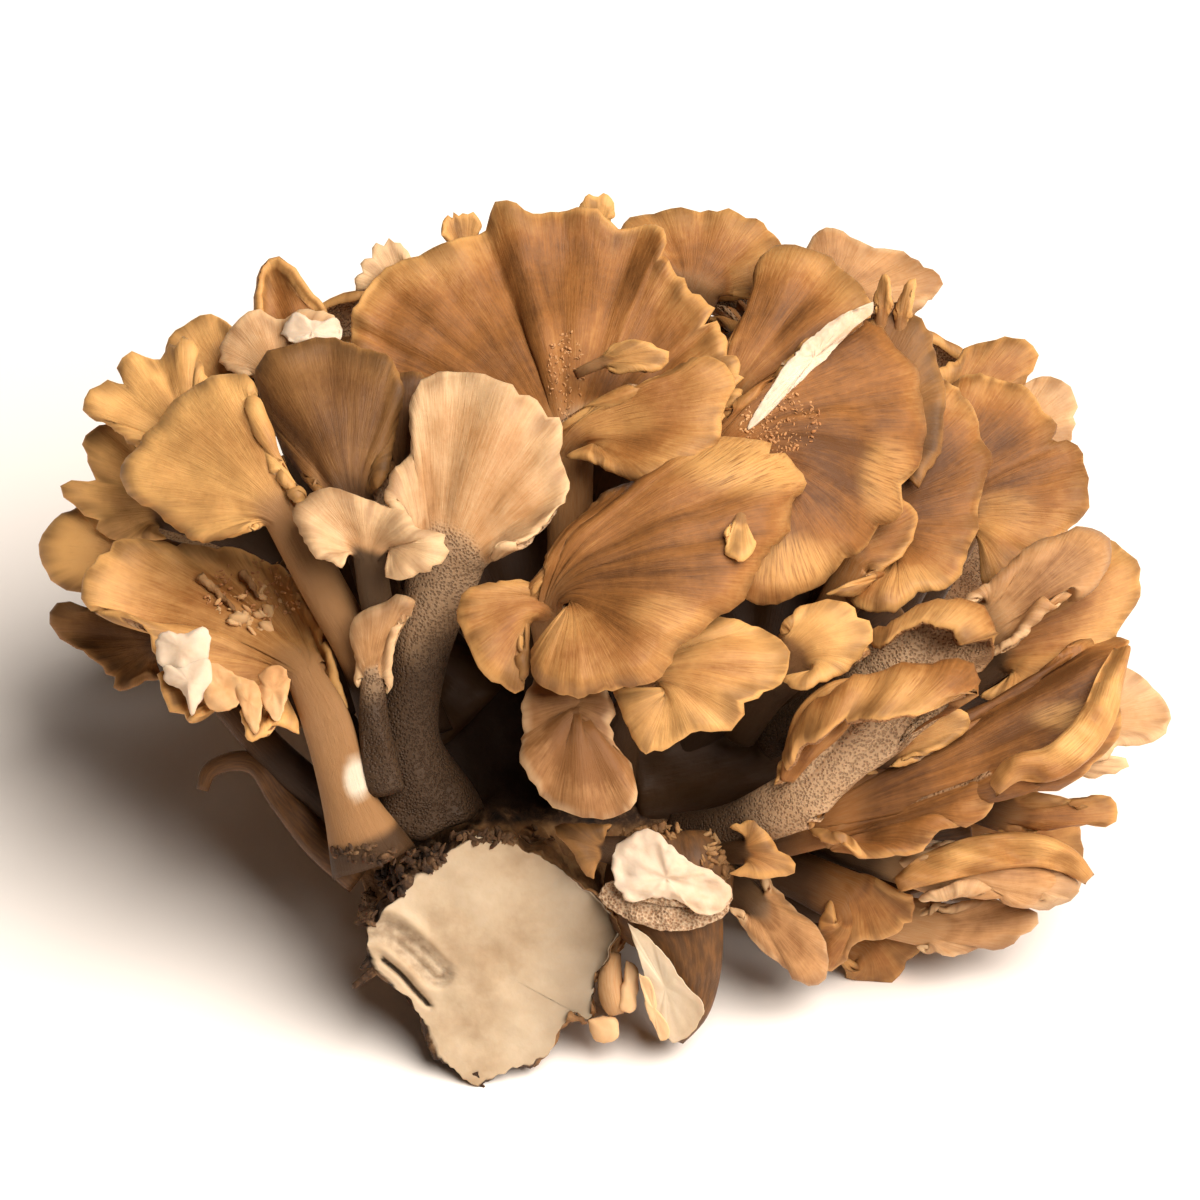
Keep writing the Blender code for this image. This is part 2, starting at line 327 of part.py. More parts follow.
# Plain stalks: drawing plane, colour, then x, y, d, half width and half depth along each
STALKS = {
    "left_branch": (FRONT, TAN, [(-20, 58, -15, 9, 8), (-36, 74, -17, 8, 7), (-47, 86, -17, 6.5, 6),
                                 (-56, 97, -17, 4.5, 4)]),
    "right_branch": (FRONT, TAN, [(4, 50, -15, 9, 8), (24, 54, -16, 8, 7), (42, 58, -18, 6.5, 6),
                                  (56, 62, -20, 4.5, 4)]),
    "top_branch": (FRONT, TAN, [(-2, 66, -24, 9, 8), (3, 84, -23, 8, 7), (7, 102, -23, 6.5, 6),
                                (10, 114, -23, 4.5, 4)]),
    "back_branch": (BACK, TAN, [(6, 66, -52, 11, 10), (4, 68, -36, 10, 9), (3, 70, -20, 8, 7)]),
    "second_stalk": (FRONT, CREAM, [(12, 7, -4, 1.4, 1.4), (12.8, 14, -2, 5, 4), (12, 23, 1, 7.5, 6),
                             (10.8, 30, 4, 10, 7), (11.8, 36, 5, 9.5, 7), (12.5, 41, 3, 6, 5)]),
    "nub": (FRONT, PALE, [(4.6, 21, -1, 2, 2), (4, 16, 1.5, 3.4, 3), (2.6, 11, 0, 3, 2.6),
                          (1.2, 7.4, -2, 1.6, 1.5)]),
    "hooked_stem": (FRONT, DARK, [(-38, 34, 0, 3.6, 3.2), (-45, 39.5, 0, 3, 2.6), (-51, 46, -1, 2.2, 2),
                           (-56, 52, -2, 1.8, 1.6), (-60, 52, -2.5, 1.5, 1.4), (-63, 50.5, -3, 1.3, 1.3),
                           (-64, 47.5, -3, 1, 1)]),
}
STALK_SIDES = 10
STEM_SIDES = 8

# The cut face of the base, in order around it, and the rings that lead back from it to the forks
CUT_FACE = [(-23.5, 38.2), (-21, 39.5), (-15.4, 39.4), (-11.2, 37.8), (-3.7, 32.6), (1.9, 27), (1.8, 22.4),
            (-0.5, 17.3), (-2.1, 10.7), (-4.6, 12.3), (-6.7, 9.1), (-7.7, 6.1), (-12.3, 3.5), (-17.4, 1.6),
            (-20, 0.4), (-21.9, 1.6), (-25.6, 5.1), (-27.5, 9.8), (-30, 13.3), (-37.3, 24.5), (-33.8, 29.1)]
CUT_SLOPE = 0.3        # how fast the cut face comes forward as it rises
BARK_SWELL = 1.03      # how far the bark stands out around the cut face
# Centre x and y, half width and half height, and distance d of each ring behind the cut face
TRUNK_RINGS = [(-17, 25.5, 17.5, 19, -6), (-14, 42, 25, 27, -13), (-10, 54, 22, 20, -20), (-8, 64, 14, 12, -27)]
BUMP = 2.0             # height of the lumps on the bark


def unit(vector):
    return vector / max(np.linalg.norm(vector), 1e-9)


def unit_rows(vectors):
    return vectors / np.maximum(np.linalg.norm(vectors, axis=1, keepdims=True), 1e-9)


def fan_grid(shape, neck, half_width, grow):
    """The middle sheet of a fan: rows from neck to rim, columns along the rim."""
    rim = shape.rim + unit_rows((shape.rim - neck) * FLAT) * grow
    rim[0] += unit((rim[0] - rim[1]) * FLAT) * grow
    rim[-1] += unit((rim[-1] - rim[-2]) * FLAT) * grow
    start = neck + unit_rows((rim - neck) * FLAT) * half_width * 0.5
    turn = np.linspace(0.0, math.pi, len(rim))
    count, height = shape.waves

    def sheet(v):
        points = start + (rim - start) * v
        points[:, 2] += shape.bulge * 4 * v * (1 - v)
        points[:, 2] += height * v ** 2 * np.cos(2 * turn * count)
        return points

    curl_start, curl_deg = shape.curl
    curl = math.radians(abs(curl_deg))
    rows = [sheet(v) for v in np.linspace(0, curl_start, shape.rows)]
    edge = rows[-1]
    outward = sheet(1.0) - edge
    stretch = np.linalg.norm(outward, axis=1, keepdims=True)
    ahead = outward / stretch
    side = unit_rows(OUT - (ahead @ OUT)[:, None] * ahead) * math.copysign(1.0, curl_deg)
    radius = stretch / math.sin(min(curl, math.pi / 2))
    steps = 1 if curl < 1.3 else 2
    for step in range(1, steps + 1):
        angle = curl * step / steps
        rows.append(edge + ahead * radius * math.sin(angle) + side * radius * (1 - math.cos(angle)))
    return np.array(rows)


def grid_normals(grid):
    normal = np.cross(np.gradient(grid, axis=0), np.gradient(grid, axis=1))
    normal /= np.maximum(np.linalg.norm(normal, axis=2, keepdims=True), 1e-9)
    return normal if normal[..., 2].sum() > 0 else -normal


def fan_mesh(shape, neck, half_width, half_depth, grow=0.0):
    """A fan as a closed sheet that thins from its neck to its rim."""
    grid = fan_grid(shape, neck, half_width, grow)
    rows, columns = grid.shape[:2]
    thin = np.minimum(np.linspace(0.0, 1.4, rows), 1.0)
    half = half_depth * 0.8 * (1 - thin) + RIM_HALF * thin + grow
    lift = grid_normals(grid) * half[:, None, None]
    mesh = bmesh.new()
    top = [[mesh.verts.new(point) for point in row] for row in grid + lift]
    under = [[mesh.verts.new(point) for point in row] for row in grid - lift]
    for row in range(rows - 1):
        for column in range(columns - 1):
            for layer in (top, under):
                mesh.faces.new((layer[row][column], layer[row][column + 1],
                                layer[row + 1][column + 1], layer[row + 1][column]))
    around = ([(0, column) for column in range(columns)] + [(row, columns - 1) for row in range(1, rows)]
              + [(rows - 1, column) for column in range(columns - 2, -1, -1)]
              + [(row, 0) for row in range(rows - 2, 0, -1)])
    for here, there in zip(around, around[1:] + around[:1]):
        mesh.faces.new((top[here[0]][here[1]], top[there[0]][there[1]],
                        under[there[0]][there[1]], under[here[0]][here[1]]))
    return finished(mesh)


def finished(mesh):
    """Triangles only, with every face turned outward."""
    bmesh.ops.triangulate(mesh, faces=mesh.faces[:])
    bmesh.ops.recalc_face_normals(mesh, faces=mesh.faces[:])
    if mesh.calc_volume(signed=True) < 0:
        bmesh.ops.reverse_faces(mesh, faces=mesh.faces[:])
    return mesh


def rings_mesh(loops):
    """One closed body from loops of equal length."""
    mesh = bmesh.new()
    rings = [[mesh.verts.new(point) for point in loop] for loop in loops]
    count = len(rings[0])
    for near, far in zip(rings, rings[1:]):
        for index in range(count):
            following = (index + 1) % count
            mesh.faces.new((near[index], near[following], far[following], far[index]))
    mesh.faces.new(rings[0][::-1])
    mesh.faces.new(rings[-1])
    return finished(mesh)


def tube_mesh(points, sides, grow=0.0):
    """An oval tube along points that give its half width and half depth."""
    points = np.array(points, float)
    turn = 2 * np.pi * np.arange(sides) / sides
    last = len(points) - 1
    loops = []
    for index, point in enumerate(points):
        way = unit(points[min(index + 1, last), :3] - points[max(index - 1, 0), :3])
        across = unit(np.cross(way, OUT))
        facing = np.cross(across, way)
        middle = point[:3]
        if index == last:
            middle = middle + way * grow
        loops.append(middle + np.cos(turn)[:, None] * across * (point[3] + grow)
                     + np.sin(turn)[:, None] * facing * (point[4] + grow))
    return rings_mesh(loops)


def frond_meshes(shape, grow=0.0):
    """The stem of a frond and its fans, as closed bodies that run into each other."""
    neck, half_width, half_depth = shape.stem[-1, :3], shape.stem[-1, 3], shape.stem[-1, 4]
    way = unit(neck - shape.stem[-2, :3])
    tip = np.concatenate((neck + way * 1.2, (half_width * 0.6, half_depth * 0.6)))
    meshes = [tube_mesh(np.vstack((shape.stem, tip)), STEM_SIDES, grow)]
    for part in shape.fans:
        meshes.append(fan_mesh(part, neck, half_width, half_depth, grow))
    return meshes


def base_loops(grow=0.0):
    """The cut face, its bark edge and the trunk behind it."""
    cut = np.array([(x, y, CUT_SLOPE * y) for x, y in CUT_FACE])
    middle = cut[:, :2].mean(axis=0)
    angles = np.arctan2(cut[:, 1] - middle[1], cut[:, 0] - middle[0])
    bark = cut.copy()
    bark[:, :2] = middle + (cut[:, :2] - middle) * BARK_SWELL
    bark[:, 2] -= 3.0
    bark[:, :2] += np.stack((np.cos(angles), np.sin(angles)), axis=1) * grow
    loops = [cut + (0.0, 0.0, grow), bark]
    for x, y, half_width, half_height, d in TRUNK_RINGS:
        lumps = BUMP * np.array([noise.noise(Vector((3 * math.cos(turn), 3 * math.sin(turn), 0.15 * d)))
                                 for turn in angles])
        ring = np.stack((x + (half_width + grow + lumps) * np.cos(angles),
                         y + (half_height + grow + lumps) * np.sin(angles),
                         np.full(len(angles), float(d))), axis=1)
        loops.append(ring)
    return loops


def make_material(name, colour):
    material = bpy.data.materials.new(name)
    material.use_nodes = True
    shader = material.node_tree.nodes["Principled BSDF"]
    shader.inputs["Base Color"].default_value = (*colour, 1.0)
    shader.inputs["Roughness"].default_value = 0.7
    shader.inputs["Metallic"].default_value = 0.0
    return material


def add_object(name, mesh, colour=None):
    """Turn a bmesh in world millimetres into an object in metres."""
    bmesh.ops.scale(mesh, vec=(MM, MM, MM), verts=mesh.verts)
    data = bpy.data.meshes.new(name)
    mesh.to_mesh(data)
    mesh.free()
    thing = bpy.data.objects.new(name, data)
    bpy.context.scene.collection.objects.link(thing)
    if colour is not None:
        data.materials.append(make_material(name, colour))
    return thing


def place(mesh, plane):
    """Move a bmesh from its drawing plane into the world, centred on the table."""
    shift = np.array((BOX_MIDDLE[0], BOX_MIDDLE[1], 0.0))
    for vert in mesh.verts:
        vert.co = Vector(to_world(plane, vert.co) - shift)
    return mesh


def keep_largest(mesh):
    """Remove every loose part but the largest."""
    unseen = set(mesh.verts)
    parts = []
    while unseen:
        stack = [unseen.pop()]
        part = set(stack)
        while stack:
            for edge in stack.pop().link_edges:
                for vert in edge.verts:
                    if vert in unseen:
                        unseen.remove(vert)
                        part.add(vert)
                        stack.append(vert)
        parts.append(part)
    parts.sort(key=len)
    for part in parts[:-1]:
        bmesh.ops.delete(mesh, geom=list(part), context="VERTS")


def apply_modifier(thing, modifier):
    """Keep the largest body that an object is with its modifier, and drop the modifier."""
    bpy.context.view_layer.update()
    evaluated = thing.evaluated_get(bpy.context.evaluated_depsgraph_get())
    mesh = bmesh.new()
    mesh.from_mesh(evaluated.to_mesh())
    evaluated.to_mesh_clear()
    thing.modifiers.remove(modifier)
    bmesh.ops.triangulate(mesh, faces=mesh.faces[:])
    keep_largest(mesh)
    mesh.to_mesh(thing.data)
    mesh.free()


def grow_together(thing):
    """Make one even skin of bodies that run into each other."""
    remesh = thing.modifiers.new("skin", "REMESH")
    remesh.mode = "VOXEL"
    remesh.voxel_size = SKIN_STEP * MM
    apply_modifier(thing, remesh)


def cut_away(thing, other):
    boolean = thing.modifiers.new("room", "BOOLEAN")
    boolean.operation = "DIFFERENCE"
    boolean.object = other
    boolean.solver = "MANIFOLD"
    apply_modifier(thing, boolean)


def thin_out(thing):
    """Leave about one triangle to each FACE_AREA of an object's skin."""
    area = sum(polygon.area for polygon in thing.data.polygons) / MM ** 2
    decimate = thing.modifiers.new("facets", "DECIMATE")
    decimate.ratio = min(1.0, max(area / FACE_AREA, FEWEST_FACES) / len(thing.data.polygons))
    apply_modifier(thing, decimate)


def surfaces_cross(first, second):
    trees = []
    for thing in (first, second):
        mesh = bmesh.new()
        mesh.from_mesh(thing.data)
        trees.append(BVHTree.FromBMesh(mesh))
        mesh.free()
    return bool(trees[0].overlap(trees[1]))


def floor_cut(thing):
    """Flatten what would reach below the table."""
    mesh = bmesh.new()
    mesh.from_mesh(thing.data)
    geometry = mesh.verts[:] + mesh.edges[:] + mesh.faces[:]
    bmesh.ops.bisect_plane(mesh, geom=geometry, plane_co=(0, 0, 0), plane_no=(0, 0, 1), clear_inner=True)
    rim = [edge for edge in mesh.edges if edge.is_boundary]
    bmesh.ops.contextual_create(mesh, geom=rim)
    finished(mesh)
    mesh.to_mesh(thing.data)
    mesh.free()


def lowest(thing):
    return min(vert.co.z for vert in thing.data.vertices)


def joined(name, meshes, plane, colour=None):
    """One object from bodies that run into each other, on their plane."""
    whole = bmesh.new()
    for mesh in meshes:
        data = bpy.data.meshes.new(name)
        mesh.to_mesh(data)
        mesh.free()
        whole.from_mesh(data)
        bpy.data.meshes.remove(data)
    thing = add_object(name, place(whole, plane), colour)
    grow_together(thing)
    return thing


def with_room(name, plane, colour, bodies):
    """A piece, and a cutter a little larger that makes room for it. bodies gives its meshes, grown or not."""
    piece = joined(name, bodies(0.0), plane, colour)
    room = joined(name + "_room", bodies(GAP), plane)
    room.hide_render = True
    room.display_type = "WIRE"
    return piece, room


def make_pieces():
    """Every piece with its room, in the order in which they keep their shape where two would cross."""
    made = [with_room("base", FRONT, CREAM, lambda grow: [rings_mesh(base_loops(grow))])]
    for name, (plane, colour, points) in STALKS.items():
        made.append(with_room(name, plane, colour, lambda grow: [tube_mesh(points, STALK_SIDES, grow)]))
    for shape in FRONDS:
        made.append(with_room(shape.name, shape.plane, shape.colour, lambda grow: frond_meshes(shape, grow)))
    return made


def snug_room(thing):
    """A cutter that stands off a finished piece by a small gap all round."""
    mesh = bmesh.new()
    mesh.from_mesh(thing.data)
    mesh.normal_update()
    moves = [vert.normal * SNUG_GAP * MM for vert in mesh.verts]
    for vert, move in zip(mesh.verts, moves):
        vert.co += move
    data = bpy.data.meshes.new(thing.name + "_snug")
    mesh.to_mesh(data)
    mesh.free()
    room = bpy.data.objects.new(thing.name + "_snug", data)
    bpy.context.scene.collection.objects.link(room)
    room.hide_render = True
    room.display_type = "WIRE"
    return room


def part_pieces(pieces, rooms):
    """Cut each piece by the rooms of those before it, where they cross."""
    for index, piece in enumerate(pieces):
        for room in rooms[:index]:
            if surfaces_cross(piece, room):
                cut_away(piece, room)


def main():
    for old in list(bpy.data.objects):
        bpy.data.objects.remove(old)
    pieces, rooms = zip(*make_pieces())
    part_pieces(pieces, rooms)
    for piece, room in zip(pieces, rooms):
        bpy.data.objects.remove(room)
        thin_out(piece)
        if lowest(piece) < 0:
            floor_cut(piece)
    for index, piece in enumerate(pieces):
        for earlier in pieces[:index]:
            if surfaces_cross(piece, earlier):
                room = snug_room(earlier)
                cut_away(piece, room)
                bpy.data.objects.remove(room)
        piece.data.shade_smooth()
        piece.data.set_sharp_from_angle(angle=math.radians(SHARP_ANGLE))


if __name__ == "__main__":
    main()
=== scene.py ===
"""A picked maitake mushroom cluster on a pale floor, lying as photographed.

The visible side is drawn in millimetres on a leaning plane: x to the right, y up the plane and d out of it,
towards the camera. The hidden back is drawn on a second leaning plane, seen from behind. Every frond is one
closed skin: an oval stem that opens into one or more fans with thin, ruffled rims.
"""
import math
from collections import namedtuple

import bpy
import numpy as np
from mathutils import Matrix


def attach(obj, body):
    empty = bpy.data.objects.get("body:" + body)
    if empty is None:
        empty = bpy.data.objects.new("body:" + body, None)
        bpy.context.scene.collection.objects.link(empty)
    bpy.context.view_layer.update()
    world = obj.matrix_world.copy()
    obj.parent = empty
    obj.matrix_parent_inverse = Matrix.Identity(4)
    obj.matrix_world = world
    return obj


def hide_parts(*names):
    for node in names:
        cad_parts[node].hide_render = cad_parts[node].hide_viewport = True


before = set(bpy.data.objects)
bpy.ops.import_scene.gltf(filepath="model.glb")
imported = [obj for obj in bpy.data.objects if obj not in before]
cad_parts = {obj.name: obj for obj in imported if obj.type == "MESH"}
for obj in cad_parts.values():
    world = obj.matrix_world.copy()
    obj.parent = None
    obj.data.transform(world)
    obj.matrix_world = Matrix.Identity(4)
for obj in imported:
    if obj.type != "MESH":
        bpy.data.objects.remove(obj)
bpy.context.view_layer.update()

MM = 0.001

# Drawing planes, in millimetres and degrees
FRONT_LEAN = 40.0
BACK_LEAN = 35.0
BACK_FLOOR = 140.0
BOX_MIDDLE = (0.45, 68.87)
FLOOR_ROOM = 0.05      # how far above the floor the lowest skin stays

# The camera: the photograph's width in millimetres, where its middle lies, and how far off it stands
PHOTO_WIDTH = 192.0
PHOTO_MIDDLE = (0.0, 78.1, 5.0)
CAMERA_AWAY = 1400.0
SENSOR_WIDTH = 36.0

# Skins
TEAR_SPACING = 11.0    # usual distance between small tears along a rim
GRID_STEP = 0.88       # usual distance between mesh points
BACK_STEP = 1.4        # the same on fronds at the back or deep in the hollows
RIM_HALF = 0.85        # half the thickness of a rim
RIM_ROUND = 1.7        # how far in from the rim it has its full thickness
STEM_FLARE = 1.6       # how much wider a stem is at its neck than drawn, unless it shows
LIP_HEIGHT = 0.5       # height of a rolled lip against its width
ROOT_REACH = 13.0      # how far up a stem its swollen root reaches
LEAVE_PULL = 0.8       # how long a fan keeps to its stem's way, as a part of its length
ARRIVE_PULL = 0.7      # how long it heads straight out before its rim, the same
MOST_COLUMNS = 200
MOST_FAN_ROWS = 64
MOST_STEM_ROWS = 60
THREAD_SIDES = 7       # sides of a thread or a crumb

# A plane that pieces are drawn on: its zero point and its three directions in the world
Plane = namedtuple("Plane", "zero right up out")


def leaning_plane(zero, lean_deg, facing):
    """The plane seen square on from above by lean_deg; facing is -1 for the front and 1 for the back."""
    lean = math.radians(lean_deg)
    right = np.array((-float(facing), 0.0, 0.0))
    up = np.array((0.0, -facing * math.sin(lean), math.cos(lean)))
    out = np.array((0.0, facing * math.cos(lean), math.sin(lean)))
    return Plane(np.array(zero, float), right, up, out)


OUT = np.array((0.0, 0.0, 1.0))
FLAT = np.array((1.0, 1.0, 0.0))
FRONT = leaning_plane((0.0, 0.0, 0.0), FRONT_LEAN, -1)
BACK = leaning_plane((0.0, BACK_FLOOR, 0.0), BACK_LEAN, 1)


def to_world(plane, points):
    """World metres of points given as x, y, d in millimetres on a plane."""
    points = np.asarray(points, float)
    placed = (plane.zero + points[..., :1] * plane.right + points[..., 1:2] * plane.up
              + points[..., 2:3] * plane.out)
    placed = placed - np.array((BOX_MIDDLE[0], BOX_MIDDLE[1], 0.0))
    placed[..., 2] = np.maximum(placed[..., 2], FLOOR_ROOM)
    return placed * MM


# Small helpers for shapes

def unit(vectors):
    return vectors / np.maximum(np.linalg.norm(vectors, axis=-1, keepdims=True), 1e-9)


def step_lengths(points):
    return np.linalg.norm(np.diff(points[:, :3], axis=0), axis=1)


def gone_lengths(points):
    """Length from the first point of a line to each of its points."""
    return np.concatenate(([0.0], np.cumsum(step_lengths(points))))


def smooth_step(low, high, value):
    t = np.clip((value - low) / (high - low), 0.0, 1.0)
    return t * t * (3 - 2 * t)


def smooth_line(points, places):
    """Points at places from 0 to 1 by length, on a smooth line through the given points."""
    points = np.asarray(points, float)
    length = gone_lengths(points)
    slope = np.gradient(points, length, axis=0)
    dense = np.linspace(0.0, length[-1], 12 * len(points))
    left = np.clip(np.searchsorted(length, dense, side="right") - 1, 0, len(points) - 2)
    span = (length[left + 1] - length[left])[:, None]
    t = ((dense - length[left])[:, None]) / span
    line = ((2 * t ** 3 - 3 * t ** 2 + 1) * points[left] + (t ** 3 - 2 * t ** 2 + t) * span * slope[left]
            + (3 * t ** 2 - 2 * t ** 3) * points[left + 1] + (t ** 3 - t ** 2) * span * slope[left + 1])
    along = gone_lengths(line)
    places = np.asarray(places) * along[-1]
    return np.stack([np.interp(places, along, line[:, axis]) for axis in range(line.shape[1])], axis=1)


def ripple(places, wavelength, seed, voices=5):
    """Smooth random waves of about unit height over points of any dimension, in millimetres."""
    chance = np.random.default_rng(seed)
    places = np.asarray(places, float)
    if places.ndim == 1:
        places = places[:, None]
    total = np.zeros(places.shape[:-1])
    for _ in range(voices):
        way = unit(chance.normal(size=places.shape[-1]))
        pitch = 2 * math.pi / (wavelength * chance.uniform(0.7, 1.5))
        total += np.sin(places @ way * pitch + chance.uniform(0, 2 * math.pi))
    return total / math.sqrt(voices)


# Closed skins

Skin = namedtuple("Skin", "points faces notes")
NONE = -1              # in place of the fourth corner of a face with three


def eased(count, at_start, at_end):
    """Places from 0 to 1 that lie closer together towards one or both ends."""
    t = np.linspace(0.0, 1.0, count)
    if at_start and at_end:
        return t - 0.75 * np.sin(2 * math.pi * t) / (2 * math.pi)
    return t + 0.75 * np.sin(math.pi * t) / math.pi if at_end else t


def arc_lengths(grid, axis):
    """Length along each line of a grid, from its first point."""
    steps = np.linalg.norm(np.diff(grid, axis=axis), axis=2)
    lengths = np.cumsum(steps, axis=axis)
    pad = [(0, 0), (0, 0)]
    pad[axis] = (1, 0)
    return np.pad(lengths, pad)


def rounded(distance, reach):
    """From 0 at an edge to 1 at reach, as a quarter of an ellipse."""
    t = np.clip(distance / reach, 0.0, 1.0)
    return np.sqrt(1 - (1 - t) ** 2)


def grid_normals(grid):
    normal = unit(np.cross(np.gradient(grid, axis=0), np.gradient(grid, axis=1)))
    for _ in range(2):
        normal[1:-1, 1:-1] = unit(normal[1:-1, 1:-1] * 2 + normal[:-2, 1:-1] + normal[2:, 1:-1]
                                  + normal[1:-1, :-2] + normal[1:-1, 2:])
    return normal


def two_sided(top, under, notes_top, notes_under):
    """A closed skin from two grids whose outer lines are the same."""
    rows, columns = top.shape[:2]
    numbers_top = np.arange(rows * columns).reshape(rows, columns)
    numbers_under = numbers_top.copy()
    inner = np.arange((rows - 2) * (columns - 2)).reshape(rows - 2, columns - 2) + rows * columns
    numbers_under[1:-1, 1:-1] = inner
    points = np.concatenate((top.reshape(-1, 3), under[1:-1, 1:-1].reshape(-1, 3)))
    faces = []
    for numbers, turned in ((numbers_top, False), (numbers_under, True)):
        quad = [numbers[:-1, :-1], numbers[:-1, 1:], numbers[1:, 1:], numbers[1:, :-1]]
        if turned:
            quad = quad[::-1]
        faces.append(np.stack(quad, axis=-1).reshape(-1, 4))
    notes = {name: np.concatenate((notes_top[name].reshape(-1), notes_under[name][1:-1, 1:-1].reshape(-1)))
             for name in notes_top}
    return Skin(points, np.concatenate(faces), notes)


def joined(skins):
    points = np.concatenate([skin.points for skin in skins])
    starts = np.cumsum([0] + [len(skin.points) for skin in skins])
    faces = np.concatenate([np.where(skin.faces == NONE, NONE, skin.faces + start)
                            for skin, start in zip(skins, starts)])
    notes = {name: np.concatenate([skin.notes[name] for skin in skins]) for name in skins[0].notes}
    return Skin(points, faces, notes)


# Fronds

# A fan. rim: x, y, d around it. bulge: how far it swells out between neck and rim. curl: where along the fan
# its rim starts to roll, by how many degrees, with plus for towards the viewer, and from where to where
# around the rim. waves: number and height of its folds. cuts: place around the rim, depth and half width of
# each split. Places around a rim run from 0 to 1.
Fan = namedtuple("Fan", "rim bulge curl waves cuts")

# A frond. stem: x, y, d, half width and half depth from its root to its neck, where its fans start.
Frond = namedtuple("Frond", "name finish stem fans plane look")

# How a frond looks beyond its finish. ruffle: height of the unevenness at its rim. fibre: height of the
# ridges that run to the rim. tone: lighter above 0, darker below, partly its own tone and partly painted
# light and shade. pored: whether its stem shows pores all round. turned: whether its pored side faces the
# viewer. swell: how much wider its stem is at its root. Last: how far up its stem the dark of its root
# reaches, partly dirt and partly painted shade of the hollows the stems stand in.
Look = namedtuple("Look", "ruffle fibre tone pored turned swell soil")


def fan(rim, bulge=2.0, curl=(0.85, -50), waves=(0, 0.0), cuts=()):
    return Fan(np.array(rim, float), bulge, curl, waves, cuts)


def frond(name, finish, stem, rim, *shape, plane=FRONT, lobes=(), flare=1.0, ruffle=0.7, fibre=0.045,
          pored=0.0, turned=False, swell=0.0, soil=32.0, **more):
    fans = [fan(rim, *shape, **more)] + list(lobes)
    stem = np.array(stem, float)
    stem[:, 3] *= np.linspace(1.0, flare, len(stem))
    tone = TONES_AND_PAINTED_LIGHT.get(name, 0.0)
    return Frond(name, finish, stem, fans, plane, Look(ruffle, fibre, tone, pored, turned, swell, soil))


def rim_line(shape, count, seed):
    """The rim in fine steps, with small nicks, and how deep it is split at each step."""
    places = eased(count, True, True)
    rim = smooth_line(shape.rim, places)
    length = step_lengths(rim).sum()
    ahead = unit(np.gradient(rim, axis=0) * FLAT)
    outward = np.stack((-ahead[:, 1], ahead[:, 0], np.zeros(count)), axis=1)
    middle = shape.rim.mean(axis=0)
    if ((rim - middle) * outward).sum() < 0:
        outward = -outward
    steady = smooth_step(0.0, 0.06, places) * smooth_step(0.0, 0.06, 1 - places)
    nicks = 0.32 * ripple(places * length, 10.0, seed) + 0.14 * ripple(places * length, 2.4, seed + 1)
    rim = rim + outward * (nicks * steady)[:, None]
    split = np.zeros(count)
    chance = np.random.default_rng(seed)
    tears = [(chance.uniform(0.08, 0.92), chance.uniform(0.3, 1.5), chance.uniform(0.5, 1.1))
             for _ in range(int(length / TEAR_SPACING))]
    for place, depth, half_width in [*shape.cuts, *tears]:
        away = np.abs(places - place) * length / half_width
        split = np.maximum(split, depth * np.clip(1 - away, 0.0, 1.0) ** 0.8)
    return places, rim, length, split


def pleats(turns):
    """Rounded lobes with narrow creases between them, one lobe to each turn."""
    return 2 * np.sqrt(np.cos(math.pi * turns) ** 2 + 0.02) - 1.3


def fan_sheet(shape, neck, way, across, half_width, reach, count, seed, look):
    """The middle sheet of a fan: rows from neck to rim, columns along the rim."""
    places, rim, length, split = rim_line(shape, count, seed)
    side = 1 - 2 * places
    start = neck + across * (half_width * side)[:, None]
    far = rim - start
    distance = np.linalg.norm(far, axis=1, keepdims=True)
    outward = unit(rim - neck)
    lead = unit(way * 0.55 + outward * 0.45 + across * (0.35 * side)[:, None]) * distance * LEAVE_PULL
    close = outward * distance * ARRIVE_PULL
    wander = 0.22 * ripple(places * length, 22.0, seed + 9)
    split = split[:, None] / np.maximum(distance, 1.0)

    def sheet(v):
        v = v * np.ones((count, 1))
        points = ((2 * v ** 3 - 3 * v ** 2 + 1) * start + (v ** 3 - 2 * v ** 2 + v) * lead
                  + (3 * v ** 2 - 2 * v ** 3) * rim + (v ** 3 - v ** 2) * close)
        points[:, 2] += shape.bulge * 4 * v[:, 0] * (1 - v[:, 0])
        folds, height = shape.waves
        points[:, 2] += height * v[:, 0] ** 1.4 * pleats(places * folds + wander)
        points[:, 2] += look.ruffle * v[:, 0] ** 1.6 * ripple(places * length, 13.0, seed + 2)
        points[:, 2] += 0.4 * look.ruffle * v[:, 0] ** 5 * ripple(places * length, 5.0, seed + 3)
        return points

    curl_start, curl_deg, curl_from, curl_to = (tuple(shape.curl) + (-1.0, 2.0))[:4]
    rolled = smooth_step(curl_from - 0.06, curl_from + 0.06, places)
    rolled = rolled * (1 - smooth_step(curl_to - 0.06, curl_to + 0.06, places))
    curl = np.maximum(math.radians(abs(curl_deg)) * rolled, 0.02)[:, None]
    edge = sheet(curl_start)
    outward = sheet(1.0) - edge
    stretch = np.linalg.norm(outward, axis=1, keepdims=True)
    ahead = outward / np.maximum(stretch, 1e-6)
    roll = unit(OUT - (ahead @ OUT)[:, None] * ahead) * math.copysign(1.0, curl_deg)
    radius = stretch / np.where(curl < math.pi / 2, np.sin(curl), 1.0)
    lift = radius * np.where(curl < math.pi / 2, 1.0, LIP_HEIGHT)
    rows = []
    for v in reach:
        v = v - split * v ** 8
        turn = curl * np.maximum(v - curl_start, 0.0) / (1 - curl_start)
        turned = edge + ahead * radius * np.sin(turn) + roll * lift * (1 - np.cos(turn))
        rows.append(np.where(v > curl_start, turned, sheet(v)))
    return np.array(rows), places, length


